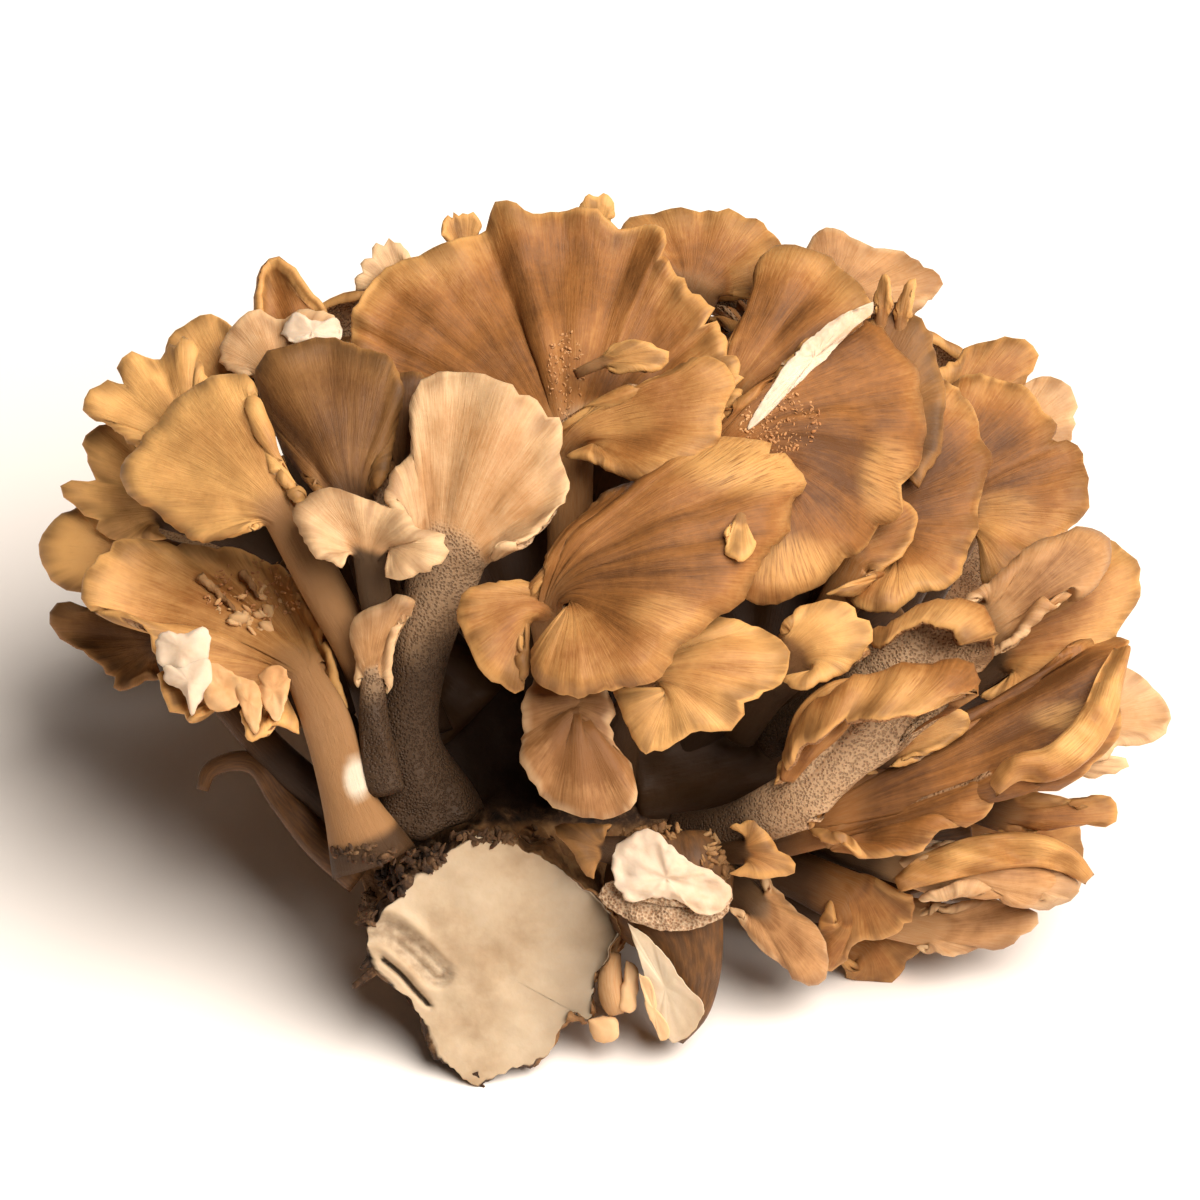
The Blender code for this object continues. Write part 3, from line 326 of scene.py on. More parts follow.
def stem_rows(stem, count, swell=0.0):
    """The flat middle of a stem, swollen at its root, with the way that each row faces."""
    line = smooth_line(stem, np.linspace(0.0, 1.0, count))
    line[:, 3:] *= (1 + swell * np.exp(-(gone_lengths(line) / ROOT_REACH) ** 2))[:, None]
    ways = unit(np.gradient(line[:, :3], axis=0))
    across = unit(np.cross(ways, OUT))
    return line, ways, across


def lobe_skin(shape, stem, look, step, seed):
    """A stem that opens into one fan, as one closed skin in plane millimetres."""
    rim_length = step_lengths(shape.rim).sum()
    neck = stem[-1, :3]
    fan_length = np.linalg.norm(shape.rim - neck, axis=1).mean()
    stem_length = step_lengths(stem).sum()
    columns = int(np.clip(rim_length / step, 26, MOST_COLUMNS))
    fan_rows = int(np.clip(fan_length / step * 1.2, 16, MOST_FAN_ROWS))
    stem_count = int(np.clip(stem_length / step * 0.8, 10, MOST_STEM_ROWS))
    line, ways, across = stem_rows(stem, stem_count, look.swell)
    spread = shape.rim[:, :2] - neck[:2]
    if np.sum(spread[:-1, 0] * spread[1:, 1] - spread[:-1, 1] * spread[1:, 0]) < 0:
        across = -across
    reach = eased(fan_rows + 1, False, True)[1:]
    sheet, places, rim_length = fan_sheet(shape, line[-1, :3], ways[-1], across[-1], line[-1, 3], reach,
                                          columns, seed, look)
    side = 1 - 2 * places
    stalk = line[:, None, :3] + across[:, None] * (line[:, None, 3:4] * side[None, :, None])
    grid = np.concatenate((stalk, sheet))
    normal = grid_normals(grid)
    if normal[stem_count:stem_count + fan_rows // 3, :, 2].sum() < 0:
        normal = -normal
    total = len(grid)
    into_fan = np.concatenate((np.zeros(stem_count), reach))[:, None] * np.ones(columns)
    opened = smooth_step(0.0, 0.35, into_fan)
    depth = np.concatenate((line[:, 4], np.full(fan_rows, line[-1, 4])))[:, None]
    width = np.concatenate((line[:, 3], np.full(fan_rows, line[-1, 3])))[:, None]
    rib = np.exp(-(side[None, :] * (1 + 3 * opened)) ** 2)
    half = RIM_HALF + (depth - RIM_HALF) * (1 - smooth_step(0.0, 0.75, into_fan)) * (1 - opened * (1 - rib))
    sideways = arc_lengths(grid, 1)
    sideways = np.minimum(sideways, sideways[:, -1:] - sideways)
    along = arc_lengths(grid, 0)
    to_rim = along[-1:] - along
    half = half * rounded(sideways, width * (1 - opened) + RIM_ROUND * opened)
    half = half * rounded(to_rim, RIM_ROUND) * rounded(along, 3.0)
    across_note = places[None, :] * rim_length * np.ones((total, 1))
    around = places * rim_length
    ridges = look.fibre * (ripple(around, 1.9, seed + 5) + ripple(around, 3.7, seed + 6))
    lumps = 0.45 * ripple(grid, 16.0, seed + 7) + 0.12 * ripple(grid, 6.0, seed + 8)
    relief = (ridges[None, :] * smooth_step(0.0, 3.0, to_rim) * (0.4 + 0.6 * opened) + lumps * opened
              + look.swell * 1.2 * ripple(grid, 6.0, seed + 4) * np.exp(-(along / ROOT_REACH) ** 2))
    shift = relief * smooth_step(0.0, 1.5, np.minimum(sideways, to_rim))
    grid = grid + normal * shift[..., None]
    rim_note = np.minimum(to_rim, sideways + 40 * (1 - opened))
    # root: where the dark of the root lies, partly dirt and partly painted shade of the hollows
    common = {"across": across_note, "along": along, "rim": rim_note, "fan": opened,
              "tone": np.full(grid.shape[:2], look.tone), "pored": np.full(grid.shape[:2], look.pored),
              "root": 1 - smooth_step(0.45 * look.soil, look.soil, along)}
    top_notes = dict(common, under=np.full(grid.shape[:2], float(look.turned)))
    facing = smooth_step(0.05, 0.3, normal[..., 2])
    under_notes = dict(common, under=(1.0 - look.turned) * facing)
    lift = normal * half[..., None]
    return two_sided(grid + lift, grid - lift, top_notes, under_notes)


def frond_skin(shape, step, seed):
    """One closed skin for each fan of a frond, all from the same stem."""
    return joined([lobe_skin(lobe, shape.stem, shape.look, step, seed + 31 * number)
                   for number, lobe in enumerate(shape.fans)])


# How much lighter (above 0) or darker each frond is than its finish: partly each frond's own tone, partly
# painted light on the left fans and painted shade on the hanging, lower and inner fronds
TONES_AND_PAINTED_LIGHT = {
    "top_fan": -0.02,
    "lower_rolled_frond": 0.15,
    "gap_leaf": -0.2, "inner_right": -0.35, "inner_far_right": -0.3, "inner_low_right": -0.35,
    "inner_centre": -0.35, "inner_left": -0.35, "hairy_bit": 0.1, "crest_bit": 0.1, "crest_tip": 0.4,
    "top_tongue": 0.15, "front_tongue": 0.3, "finger_two": 0.1, "right_bit": 0.2,
    "left_fan": 0.45, "left_round_lobe": 0.5, "left_side_frond": 0.4, "left_upper_fan": 0.4,
    "left_crest_fan": 0.3, "torn_bowl_frond": 0.2, "front_under_fan": 0.3,
    "hanging_fan": -0.42, "large_wavy_frond": -0.2, "lower_hanging_lobe": -0.1, "lowest_lobe": -0.1,
    "broad_right_fan": 0.1, "right_fan": -0.12, "dark_fan": 0.1, "round_lobe": 0.25, "tongue_frond": 0.1,
    "far_right_fan": -0.1, "crescent_fan": -0.1, "beige_flap": -0.1, "lower_leaf_frond": -0.1,
    "right_tip_frond": 0.1, "back_right_frond": -0.16, "right_back_lobe": -0.1,
    "rolled_lip_frond": -0.1, "pale_front_lobe": 0.15, "centre_fan": 0.1,
}

FRONDS = [
    # The visible side
    frond("centre_fan", "pale",
          [(-27, 42, 2, 6, 5), (-31, 56, 9, 5, 4.5), (-29, 68, 13, 4.6, 4.2), (-24, 85, 19, 6, 3)],
          [(-32.6, 91, 22), (-33.4, 97, 20), (-30.5, 101, 19), (-29.5, 107, 18), (-29, 113.2, 16),
           (-25, 114.6, 16), (-19.4, 114.1, 17), (-11.2, 110.9, 19), (-5.8, 105.1, 21), (-6.1, 101.1, 22),
           (-5.1, 97.1, 23), (-8.5, 90.1, 27), (-11, 88.2, 28), (-16, 86.6, 28)], 1.5, (0.85, -40),
          cuts=[(0.3, 2.5, 1.2), (0.62, 2.0, 0.8)], pored=1.0, swell=0.5, soil=46.0),
    frond("front_fan", "tan",
          [(-4, 50, -6, 4.5, 4.5), (-5, 62, 10, 4, 3.6), (-8, 77, 21, 3.5, 2.5)],
          [(-5, 85, 19), (0, 94, 17), (6.4, 97.5, 17), (14.4, 103, 17), (24.5, 105.3, 17), (31, 102.6, 18),
           (34.7, 98.4, 20), (32.8, 94.7, 23), (31.4, 90.2, 25), (27.2, 85.3, 29), (22.4, 78, 32),
           (14.4, 72.2, 35), (9.1, 66, 36), (2.6, 63.5, 36), (-1.9, 62.7, 36), (-7.2, 63.2, 34),
           (-10, 65, 32), (-10.5, 70, 28)], 6.0, (0.8, -70),
          cuts=[(0.36, 7.0, 0.9), (0.405, 3.0, 0.8), (0.45, 3.5, 0.8)],
          lobes=[fan([(-12.5, 80.5, 24), (-18.2, 80.6, 25), (-22, 78.2, 26), (-22.2, 75.4, 27),
                      (-19.8, 68.8, 29), (-16.9, 65.6, 30), (-13.4, 63.5, 30), (-12.4, 70, 28)], 1.5)]),
    frond("top_fan", "tan",
          [(-8, 56, -14, 4.5, 4.5), (-7, 70, -3, 3.6, 3.6), (-5, 85, 4, 3.5, 3.5), (-5, 102, 9, 4, 2.5)],
          [(-26, 103, 9), (-36, 111, 3), (-39.9, 119.8, 0), (-39.2, 126, -3), (-35.7, 130.3, -5),
           (-30.9, 133.5, -6), (-25, 135.6, -7), (-19.8, 137.6, -8), (-15.4, 142.9, -9), (-11.2, 140.7, -8),
           (-6.7, 141.4, -9), (-1.1, 141, -9), (3.8, 138.6, -7), (9.8, 138.3, -7), (11.2, 132.5, -2),
           (16.3, 127, 0), (18.6, 123, 3), (21.3, 117.4, 6), (22.6, 114.2, 8), (21, 108.5, 11),
           (14, 103, 13)], -3.0, (0.88, -40), (9, 0.8),
          [(0.69, 3.0, 1.1), (0.75, 2.6, 1.0), (0.8, 3.4, 1.0), (0.85, 2.6, 0.9), (0.9, 3.0, 1.0)],
          lobes=[fan([(-5.6, 100.8, 17), (0.2, 99.6, 20), (6.1, 97.2, 23), (12.3, 98.8, 23), (18, 103, 21),
                      (19, 108, 19), (21.5, 113, 18), (17.5, 115.8, 17), (8, 113, 15)], 2.0, (0.8, -60))]),
    frond("right_fan", "tan",
          [(5, 84, -16, 3.5, 3.5), (14, 92, -2, 3.2, 3), (22, 102, 9, 3.5, 2.5)],
          [(28, 110, 6), (36, 118, 2), (44, 123.3, -4), (46.3, 122.6, -4), (51, 116, -3), (52.5, 108.5, -1),
           (52.2, 100.3, 3), (49.2, 95.5, 6), (48.8, 91.8, 8), (45, 89, 10), (38.4, 82.9, 14), (32, 78.9, 17),
           (25, 77.3, 19), (19, 84, 17), (18, 92, 13)], 3.0, (0.85, -60),
          cuts=[(0.52, 2.5, 0.9), (0.6, 1.8, 0.8), (0.68, 1.5, 0.9)], flare=STEM_FLARE),
    frond("dark_fan", "dark",
          [(-27, 56, -4, 3.6, 3.6), (-33, 72, 2, 3.3, 3.3), (-39.5, 94, 10, 3.5, 2.5)],
          [(-45, 95, 11), (-51, 104, 5), (-54.5, 112, 2), (-53.6, 117.8, 2), (-49.9, 119.4, 2),
           (-41, 119.6, 4), (-34.7, 117.8, 6), (-31.4, 112.5, 9), (-32.8, 105.3, 11), (-35, 96, 13)],
          2.0, (0.9, -40), (5, 0.4)),
    frond("left_fan", "tan",
          [(-32, 47, 1, 4, 3.6), (-38.5, 70, 11, 3.6, 3.2), (-44, 80, 12, 3.6, 3.2),
           (-50, 91.5, 12, 3.6, 2.5)],
          [(-56.3, 89.4, 12), (-62.6, 87.8, 9), (-70.6, 91.7, 5), (-75.5, 95.8, 3), (-77, 99.2, 1),
           (-72.8, 106, 0), (-69.6, 110, 1), (-61.3, 114.6, 4), (-56.5, 114.2, 6), (-55.8, 109.8, 8),
           (-51.8, 100, 12), (-47.5, 93.5, 15)], 2.0, (0.85, -55)),
    frond("pale_front_lobe", "pale",
          [(-33.5, 70, 14.5, 2.6, 2.4), (-35.5, 78, 17, 2.6, 2.4), (-36.5, 85.5, 20, 2.6, 2)],
          [(-40.6, 83.2, 26), (-45.6, 86.4, 24), (-48, 93.3, 20), (-44.3, 95.2, 20), (-37.8, 95, 21),
           (-34.9, 93.2, 22), (-31.7, 92.4, 24), (-28.5, 89, 26), (-24.3, 87.2, 29), (-24.6, 85.4, 29),
           (-28.5, 82.4, 28), (-33.8, 81.9, 28)], 1.5, (0.75, -70)),
    frond("pointed_frond", "pale",
          [(-34, 47, 13, 2, 1.8), (-36, 60, 15, 2, 1.6), (-36, 66, 16.5, 1.8, 1.4)],
          [(-38.5, 64, 16), (-38.8, 70, 17), (-38.6, 75.4, 18), (-35, 77.5, 19), (-29.9, 79.2, 20),
           (-31.8, 74, 19), (-33, 68, 18), (-33.8, 63, 17)], 0.5, pored=1.0, swell=0.5, soil=24.0),
    frond("torn_bowl_frond", "tan",
          [(-36, 36, 8, 5.5, 4.5), (-40, 46, 12, 3.8, 3.4), (-44, 60, 13.5, 3.8, 2.5), (-47, 66, 11.5, 3, 2)],
          [(-47.8, 57.6, 17), (-51, 59, 18), (-54.4, 56.8, 19), (-57.3, 61.3, 17), (-62.6, 60.8, 16),
           (-65, 59.2, 15), (-70, 66, 12), (-71.5, 73, 9), (-77.3, 75.8, 7), (-81, 76.2, 5), (-82.7, 80.5, 2),
           (-81.5, 84, 1), (-78.4, 86.8, 0), (-73, 87.4, -1), (-63, 86.5, -2), (-56, 85.5, 0),
           (-49.5, 81.5, 5), (-46, 76, 8), (-43, 68, 11), (-40.5, 61.3, 13)], -3.5, (0.88, -50), (4, 0.7),
          [(0.12, 3.0, 1.2), (0.2, 2.0, 1.0), (0.28, 2.5, 1.5)], swell=0.3, soil=8.0),
    frond("front_under_fan", "tan",
          [(2, 48, -3, 3.6, 3.6), (4, 58, 9, 3.2, 3), (9, 66, 22, 3, 2)],
          [(1.8, 64, 24), (4, 59.5, 25), (7.2, 53.8, 26), (12, 55.7, 27), (15.8, 57.4, 28), (19.8, 57.8, 28),
           (24.8, 62.3, 27), (29.3, 66.3, 25), (30.1, 70, 23), (27, 73, 21), (18, 75, 20)], 1.5),
    frond("hanging_fan", "pale",
          [(-3, 46, -2, 3.2, 3.2), (-3.5, 56, 11, 3, 2.8), (-4, 62, 21.5, 2.8, 1.8)],
          [(-10, 66.5, 22), (-11.6, 63, 24), (-12.5, 55, 25), (-10.6, 48.8, 25), (-6.4, 45, 25),
           (-1.6, 43.5, 25), (6.4, 46.7, 24), (4.2, 51, 24), (2.5, 56, 24), (1.8, 62, 23), (0, 66.5, 21)],
          1.0, (0.85, -30)),
    frond("round_lobe", "tan",
          [(22, 56, -5, 3, 3), (26, 63, 5, 2.8, 2.6), (32, 70, 16.5, 2.8, 2)],
          [(28.5, 73, 17), (32.2, 76.8, 18), (36.6, 78.1, 18), (41.1, 76.3, 18), (43.2, 73.3, 19),
           (42, 70, 20), (39, 66.9, 21), (34, 64.8, 22), (30.9, 63.8, 22), (28.5, 65.5, 20)], 1.5,
          (0.85, -40), flare=STEM_FLARE),
    frond("pore_lip_lower", "tan",
          [(12, 40, -6, 3.6, 3.6), (22, 42, 6, 3, 3), (31, 46, 13.5, 3, 2)],
          [(27.5, 48, 16), (29.4, 54, 19), (33.1, 60.4, 20), (39.2, 64.8, 20), (43.2, 65.8, 19),
           (51.5, 67.2, 17), (56.2, 66.4, 15), (58.1, 64, 14), (51.5, 60, 14), (42.4, 52.6, 14),
           (33, 44.5, 13)], 1.0, (0.45, 160, 0.0, 0.6), (4, 0.9),
          flare=STEM_FLARE, turned=True),
    frond("large_wavy_frond", "tan",
          [(14, 38, -10, 3.6, 3.4), (24, 40, -1, 3.4, 3), (35, 43.5, 7, 3.2, 2)],
          [(34, 46, 7), (44, 50.5, 8), (52, 52, 8), (60.8, 55, 7), (67.7, 60, 6), (73.6, 66, 5),
           (79, 71.4, 3), (84.8, 72, 3), (82.8, 66.6, 8), (82.4, 59.2, 12), (79, 53.2, 15), (70.9, 48.4, 16),
           (65.3, 51.2, 17), (63, 48, 15), (59.4, 43.8, 14), (53.4, 42, 13), (49.8, 38.4, 13),
           (44.6, 37.6, 13), (37.8, 39.2, 11), (33.1, 42, 8)], -1.5, (0.75, -60, 0.3, 1.2), flare=STEM_FLARE),
    frond("tongue_frond", "tan",
          [(30, 52, -3, 2.6, 2.4), (38, 53, 4, 2.4, 2), (47, 55, 9.5, 2.2, 1.6)],
          [(44.6, 55, 10.5), (50, 58, 10.5), (55, 60.6, 9.5), (59.8, 59.8, 8.5), (58, 57, 10),
           (52, 54, 11), (46, 51.5, 11)], 0.5, flare=STEM_FLARE),
    frond("pore_lip_upper", "tan",
          [(26, 55, -7, 3.2, 3), (35, 60, 2, 3, 2.6), (45, 66, 9, 3, 2)],
          [(38.5, 67, 13), (44.2, 73.6, 13), (49.1, 76, 12), (54.9, 77.3, 11), (58.9, 76, 10),
           (62, 72.5, 9), (62.8, 69.5, 8), (59, 66, 8), (50, 63, 8)], 1.0, (0.42, 160, 0.0, 0.65),
          (3, 0.8), flare=STEM_FLARE, turned=True),
    frond("crescent_fan", "tan",
          [(32, 62, -11, 3.2, 3), (37, 76, -7, 3, 2.8), (43, 88, -4.5, 3, 2)],
          [(46, 108, -12), (50, 113, -13), (55.2, 115.2, -13), (58.4, 112.7, -12), (61.6, 107, -10),
           (63, 102, -8), (61.7, 95.7, -5), (60, 87.7, -1), (56.8, 81.2, 3), (49.6, 78.4, 7),
           (43.5, 76, 8), (39, 79, 6)], 2.0, (0.85, -50), flare=STEM_FLARE),
    frond("rolled_lip_frond", "pale",
          [(46, 64, -9, 2.8, 2.6), (54, 69, -2.5, 2.6, 2.2), (64, 75, 3.5, 2.6, 1.8)],
          [(57.5, 77, 4.5), (63, 81.8, 4), (70.7, 87.1, 2), (77, 90.4, 0), (83, 88.9, -2), (83.6, 86.5, -1),
           (79, 81.1, 3), (72.8, 78, 6), (70.4, 76, 7), (66, 71, 7), (62, 69, 6)], 1.0, (0.7, -70),
          flare=STEM_FLARE),
    frond("broad_right_fan", "tan",
          [(50, 60, -14, 3, 2.8), (56, 64, -8.5, 3, 2.4), (63, 70, -4.5, 3, 2)],
          [(60.8, 62.5, 2), (67.2, 61.4, 2), (72.8, 65.4, 0), (83.4, 72.3, -5), (86.9, 78.2, -8),
           (87.4, 84.8, -11), (83.8, 88, -12), (77, 88, -11), (68, 84, -8), (60, 76, -4)], 1.5,
          flare=STEM_FLARE),
    frond("far_right_fan", "tan",
          [(42, 64, -19, 3.2, 3), (48, 78, -18, 3, 2.8), (55, 92, -16.5, 3, 2)],
          [(54, 108, -19), (58.1, 113.2, -20), (60.6, 115.2, -21), (67, 114.4, -22), (72.8, 109.5, -21),
           (74.9, 106.1, -20), (73.9, 104.2, -19), (77.3, 103.6, -20), (79.6, 97.4, -18), (78.8, 92.5, -16),
           (77, 90.2, -15), (68.8, 84.2, -11), (62, 80, -9)], 2.0, (0.85, -50), flare=STEM_FLARE),
    frond("right_folded_fan", "tan",
          [(6, 96, -18, 3, 3), (13, 102, -8, 2.8, 2.6), (21, 111, 1, 3, 2)],
          [(22, 113, 1), (23, 119, -2), (25, 128, -6), (27.7, 135.2, -8), (33.4, 135.1, -8),
           (40.8, 130.4, -5), (44, 125.4, -1), (38, 122, 4), (32, 117.5, 8), (26.5, 110, 9)], 2.0,
          (0.88, -50), (3, 0.8), flare=STEM_FLARE),
    frond("right_back_lobe", "tan",
          [(28, 60, -6, 2.6, 2.4), (35, 72, 0, 2.4, 2.2), (42, 84, 4.5, 2.4, 1.8)],
          [(36, 79, 9), (43.2, 80.3, 7), (46.6, 84.3, 5), (50.6, 88.5, 3), (51.4, 91.6, 1.5),
           (47, 95, 0)], 0.5, flare=STEM_FLARE),
    frond("second_leaf", "dark",
          [(5, 38, -2, 2.4, 2.2), (3, 38, 7, 2.4, 1.6), (0, 38.5, 11, 2, 1.2)],
          [(-1, 33.5, 13), (-3.5, 37, 13.5), (-7.2, 42, 12), (-2, 42, 12.5), (2, 42.5, 12)], 1.0),
    frond("torn_leaf", "tan",
          [(14, 38, -4, 2.4, 2.2), (20, 38, 5, 2.2, 1.6), (23.5, 38, 10, 2, 1.2)],
          [(20.5, 34.5, 11), (25, 34, 12), (31.4, 35, 9), (28, 39, 11), (25.5, 43, 10.5), (20.5, 42, 10)],
          0.5),
    frond("beige_flap", "pale",
          [(12, 36, -8, 2.8, 2.6), (19, 34, -2.5, 2.8, 2), (25, 29, 1, 2.6, 1.6)],
          [(20.5, 29, 2), (26, 22.5, 0), (32, 17.2, -4), (36.2, 16, -7), (37, 21, -6), (31.5, 28, -3),
           (25.5, 35, 0)], 1.0),
    frond("lower_hanging_lobe", "tan",
          [(16, 35, -16, 2.8, 2.8), (28, 35, -9, 2.8, 2.4), (40, 30, -5, 2.8, 2)],
          [(37, 30, -4), (35, 24, -7), (34.8, 19.3, -10), (36.2, 17.9, -11), (38.1, 18.2, -11),
           (40.4, 22, -8), (45.9, 23.9, -6), (50.2, 26, -5), (50.6, 30.6, -4)], 1.0, flare=STEM_FLARE),
    frond("lower_rolled_frond", "pale",
          [(28, 42, -14, 2.8, 2.6), (42, 38, -7, 2.8, 2.4), (56, 34.5, -2, 2.8, 2)],
          [(46.6, 34, -1), (49.8, 36.5, -1), (56.2, 39.6, -2), (61.6, 40.5, -3), (69, 40, -5),
           (74.6, 39.2, -7), (79.7, 34.4, -8), (79.7, 29.8, -8), (73.6, 28.3, -6), (65.3, 32.5, -2),
           (56, 31.5, 0), (50, 30, 0)], 2.5, (0.55, -60), flare=STEM_FLARE),
    frond("flat_strip_frond", "tan",
          [(46, 52, -16, 2.6, 2.4), (56, 47, -12, 2.4, 2), (66, 43.8, -9, 2.2, 1.6)],
          [(62, 46.6, -8), (70, 46.6, -9), (76.8, 45.6, -10), (84.3, 45.2, -12), (84.4, 43, -12),
           (80, 42, -11), (72, 41.5, -10), (64, 41, -9)], 0.5, flare=STEM_FLARE),
    frond("right_tip_frond", "pale",
          [(52, 58, -17, 2.6, 2.4), (66, 58, -11, 2.6, 2.2), (79, 59, -6, 2.6, 1.8)],
          [(77, 66, -6), (82.7, 68, -7), (89.3, 63.6, -9), (92.5, 60.3, -9), (92.2, 57.2, -8),
           (89.6, 56, -6), (84.6, 54.2, -3), (79, 52, -2)], 1.0, flare=STEM_FLARE),
    frond("lower_leaf_frond", "pale",
          [(16, 32, -20, 2.6, 2.6), (36, 29, -14, 2.6, 2), (54, 25.5, -10.5, 2.4, 1.6)],
          [(50.4, 27, -9), (60, 29.4, -10), (66.1, 29, -11), (71.5, 26.2, -13), (65, 22.5, -13),
           (56, 20.8, -12), (51, 22, -11)], 0.8, flare=STEM_FLARE),
    frond("lowest_lobe", "tan",
          [(16, 32, -26, 2.8, 2.6), (30, 28, -20, 2.8, 2.2), (43.5, 22, -17.5, 2.6, 1.8)],
          [(38.5, 21, -16), (39, 18.8, -18), (40.3, 17, -19.5), (44, 15.6, -20.2), (47.7, 16, -20.2),
           (49.6, 18.4, -19.5), (51.6, 21.6, -18), (51, 25.2, -16)], 0.8, flare=STEM_FLARE),
    frond("left_side_frond", "tan",
          [(-50, 84, -16, 2.8, 2.6), (-60, 90, -12.5, 2.8, 2.2), (-70, 94, -10.5, 2.8, 1.8)],
          [(-70, 88, -9), (-77, 87.5, -12), (-84, 92, -14), (-87.7, 95.8, -15), (-83, 98, -14),
           (-84, 104, -15), (-80, 106.7, -14), (-72, 104, -11)], 0.5, (0.85, -50), (3, 0.4),
          [(0.3, 3.0, 1.0), (0.55, 5.0, 1.2)], flare=STEM_FLARE),
    frond("left_upper_fan", "tan",
          [(-51, 92, -13, 2.8, 2.6), (-58, 99, -9, 2.8, 2.2), (-66, 105, -6, 2.8, 1.8)],
          [(-73, 102, -4), (-79, 106, -6), (-83.1, 108.6, -8), (-79.2, 115.2, -10), (-75, 118.2, -11),
           (-71.6, 117.2, -11), (-69, 121, -10), (-63.8, 115, -7), (-59, 108, -4)], 1.0, (0.85, -50),
          (4, 0.5), [(0.4, 6.0, 1.2), (0.53, 5.0, 1.0), (0.66, 4.0, 0.9)], flare=STEM_FLARE),
    frond("left_crest_fan", "tan",
          [(-53, 98, -17, 2.6, 2.4), (-57, 105, -14.5, 2.6, 2.2), (-60, 113, -13, 2.6, 1.8)],
          [(-65, 112, -12), (-70, 117, -15), (-69.6, 121.5, -16), (-64.6, 124.3, -16), (-58.9, 122.4, -14),
           (-54, 115, -11)], 1.0, flare=STEM_FLARE),
    frond("left_round_lobe", "tan",
          [(-48, 80, -21, 2.8, 2.6), (-62, 82, -20, 2.8, 2.4), (-78, 86, -18, 2.6, 1.8)],
          [(-77, 80.2, -16), (-84, 79.2, -18), (-90, 82, -19), (-91.5, 87, -19), (-89, 91.5, -19),
           (-84, 93.4, -18), (-78, 92.5, -18), (-73, 89, -17)], 1.0, (0.75, -60), flare=STEM_FLARE),
    frond("left_dark_frond", "dark",
          [(-38, 41, 0, 3.2, 2.8), (-53, 54, -1, 2.8, 2.4), (-64, 66, -7, 2.8, 2), (-70, 71, -9.5, 2.6, 1.6)],
          [(-71, 65.5, -9), (-74.7, 64.4, -10), (-78.2, 64, -12), (-81, 67.4, -13), (-84, 70, -14),
           (-87, 71.2, -15), (-89.5, 75.3, -16), (-88.2, 77.2, -16), (-83.7, 76.6, -15),
           (-78.9, 76.4, -13), (-71, 76, -11)], -1.0),
    frond("broken_frond", "pale",
          [(-42, 84, -10, 2.8, 2.6), (-47, 100, -8, 2.6, 2.4), (-52, 115.5, -6, 2.6, 1.8)],
          [(-57, 114, -5), (-61.3, 117, -7), (-60, 122, -8), (-56, 124.6, -8), (-52.5, 123.5, -7),
           (-49, 124.5, -6), (-43, 124, -5), (-42.5, 120.5, -4)], 0.5, flare=STEM_FLARE),
    frond("curled_upright_frond", "tan",
          [(-42, 88, -20, 2.8, 2.6), (-45, 104, -17, 2.6, 2.4), (-48.5, 121, -12.5, 2.6, 1.6)],
          [(-52, 121, -12), (-55.8, 127, -13), (-54.7, 131.8, -14), (-53.3, 133.8, -14),
           (-50.4, 132.7, -13), (-47.2, 128.7, -12), (-43.5, 123, -11)], -1.5, (0.8, 60),
          flare=STEM_FLARE),
    frond("crescent_back_fan", "dark",
          [(12, 96, -22, 2.8, 2.6), (26, 100, -14, 2.6, 2.4), (42, 106, -7, 2.6, 1.8)],
          [(43, 122, -8), (47.5, 126, -10), (51, 124.7, -9), (54, 119, -7.5), (55.4, 112, -5.5),
           (54.8, 103, -2.5), (51, 96, 0)], 1.0, flare=STEM_FLARE),
    frond("far_right_top_lobe", "tan",
          [(40, 66, -23, 2.8, 2.6), (50, 90, -26, 2.6, 2.4), (59, 110, -26, 2.6, 1.8)],
          [(53, 114, -25), (57, 117.5, -26), (63, 120, -28), (67.5, 121.5, -29), (71.5, 119, -29),
           (70, 114.6, -27), (66, 109, -26)], 1.0, flare=STEM_FLARE),
    frond("far_right_back_lobe", "pale",
          [(46, 66, -24, 2.6, 2.4), (57, 86, -28, 2.6, 2.2), (68, 105, -29, 2.6, 1.8)],
          [(62, 106, -28), (67.8, 113, -30), (73, 115.2, -31), (78, 110.5, -31), (77.5, 105, -29),
           (71, 98, -28)], 1.0, flare=STEM_FLARE),
    frond("back_crest_frond", "tan",
          [(8, 110, -22, 2.8, 2.8), (11, 118, -18, 2.8, 2.4), (15, 129, -15.5, 3, 2)],
          [(4, 128, -14), (3.8, 139.2, -18), (9.8, 141.4, -20), (18.7, 141.6, -20), (26.1, 139.6, -19),
           (29.8, 135.8, -17), (26, 126, -14)], 1.0, (0.85, -50), flare=STEM_FLARE),
    frond("back_right_frond", "pale",
          [(12, 104, -24, 2.8, 2.8), (26, 116, -22, 2.8, 2.4), (38, 128, -20.5, 2.8, 1.8)],
          [(35, 128, -19), (34, 135, -21), (37, 139.2, -23), (42, 136.6, -23), (50, 134.5, -24),
           (55.8, 130, -23), (50, 124, -19)], 1.0, flare=STEM_FLARE),

    # The hidden back, drawn from behind, and last a frond under the right side
    frond("back_low_centre", "tan",
          [(4, 62, -30, 6, 5), (3, 53, -12, 7, 4.2), (2, 46, 0, 8, 3)],
          [(26, 50, 4), (32, 34, 8), (28, 18, 3), (16, 4.5, -6.5), (4, 1.2, -3), (-10, 3, -5),
           (-24, 12, 1), (-32, 28, 7), (-26, 48, 5)], 4.0, (0.85, -20), (4, 1.0), plane=BACK),
    frond("back_low_left", "tan",
          [(12, 62, -40, 6, 5), (30, 56, -26, 7, 4.2), (44, 49, -13, 8, 3)],
          [(48, 64, -6), (62, 64, -8), (76, 54, -15), (80, 38, -21), (70, 24, -25.5), (56, 16, -25.5),
           (42, 20, -17), (33, 34, -5), (33, 50, -1)], 3.0, (0.85, -20), (4, 1.0), plane=BACK),
    frond("back_low_right", "tan",
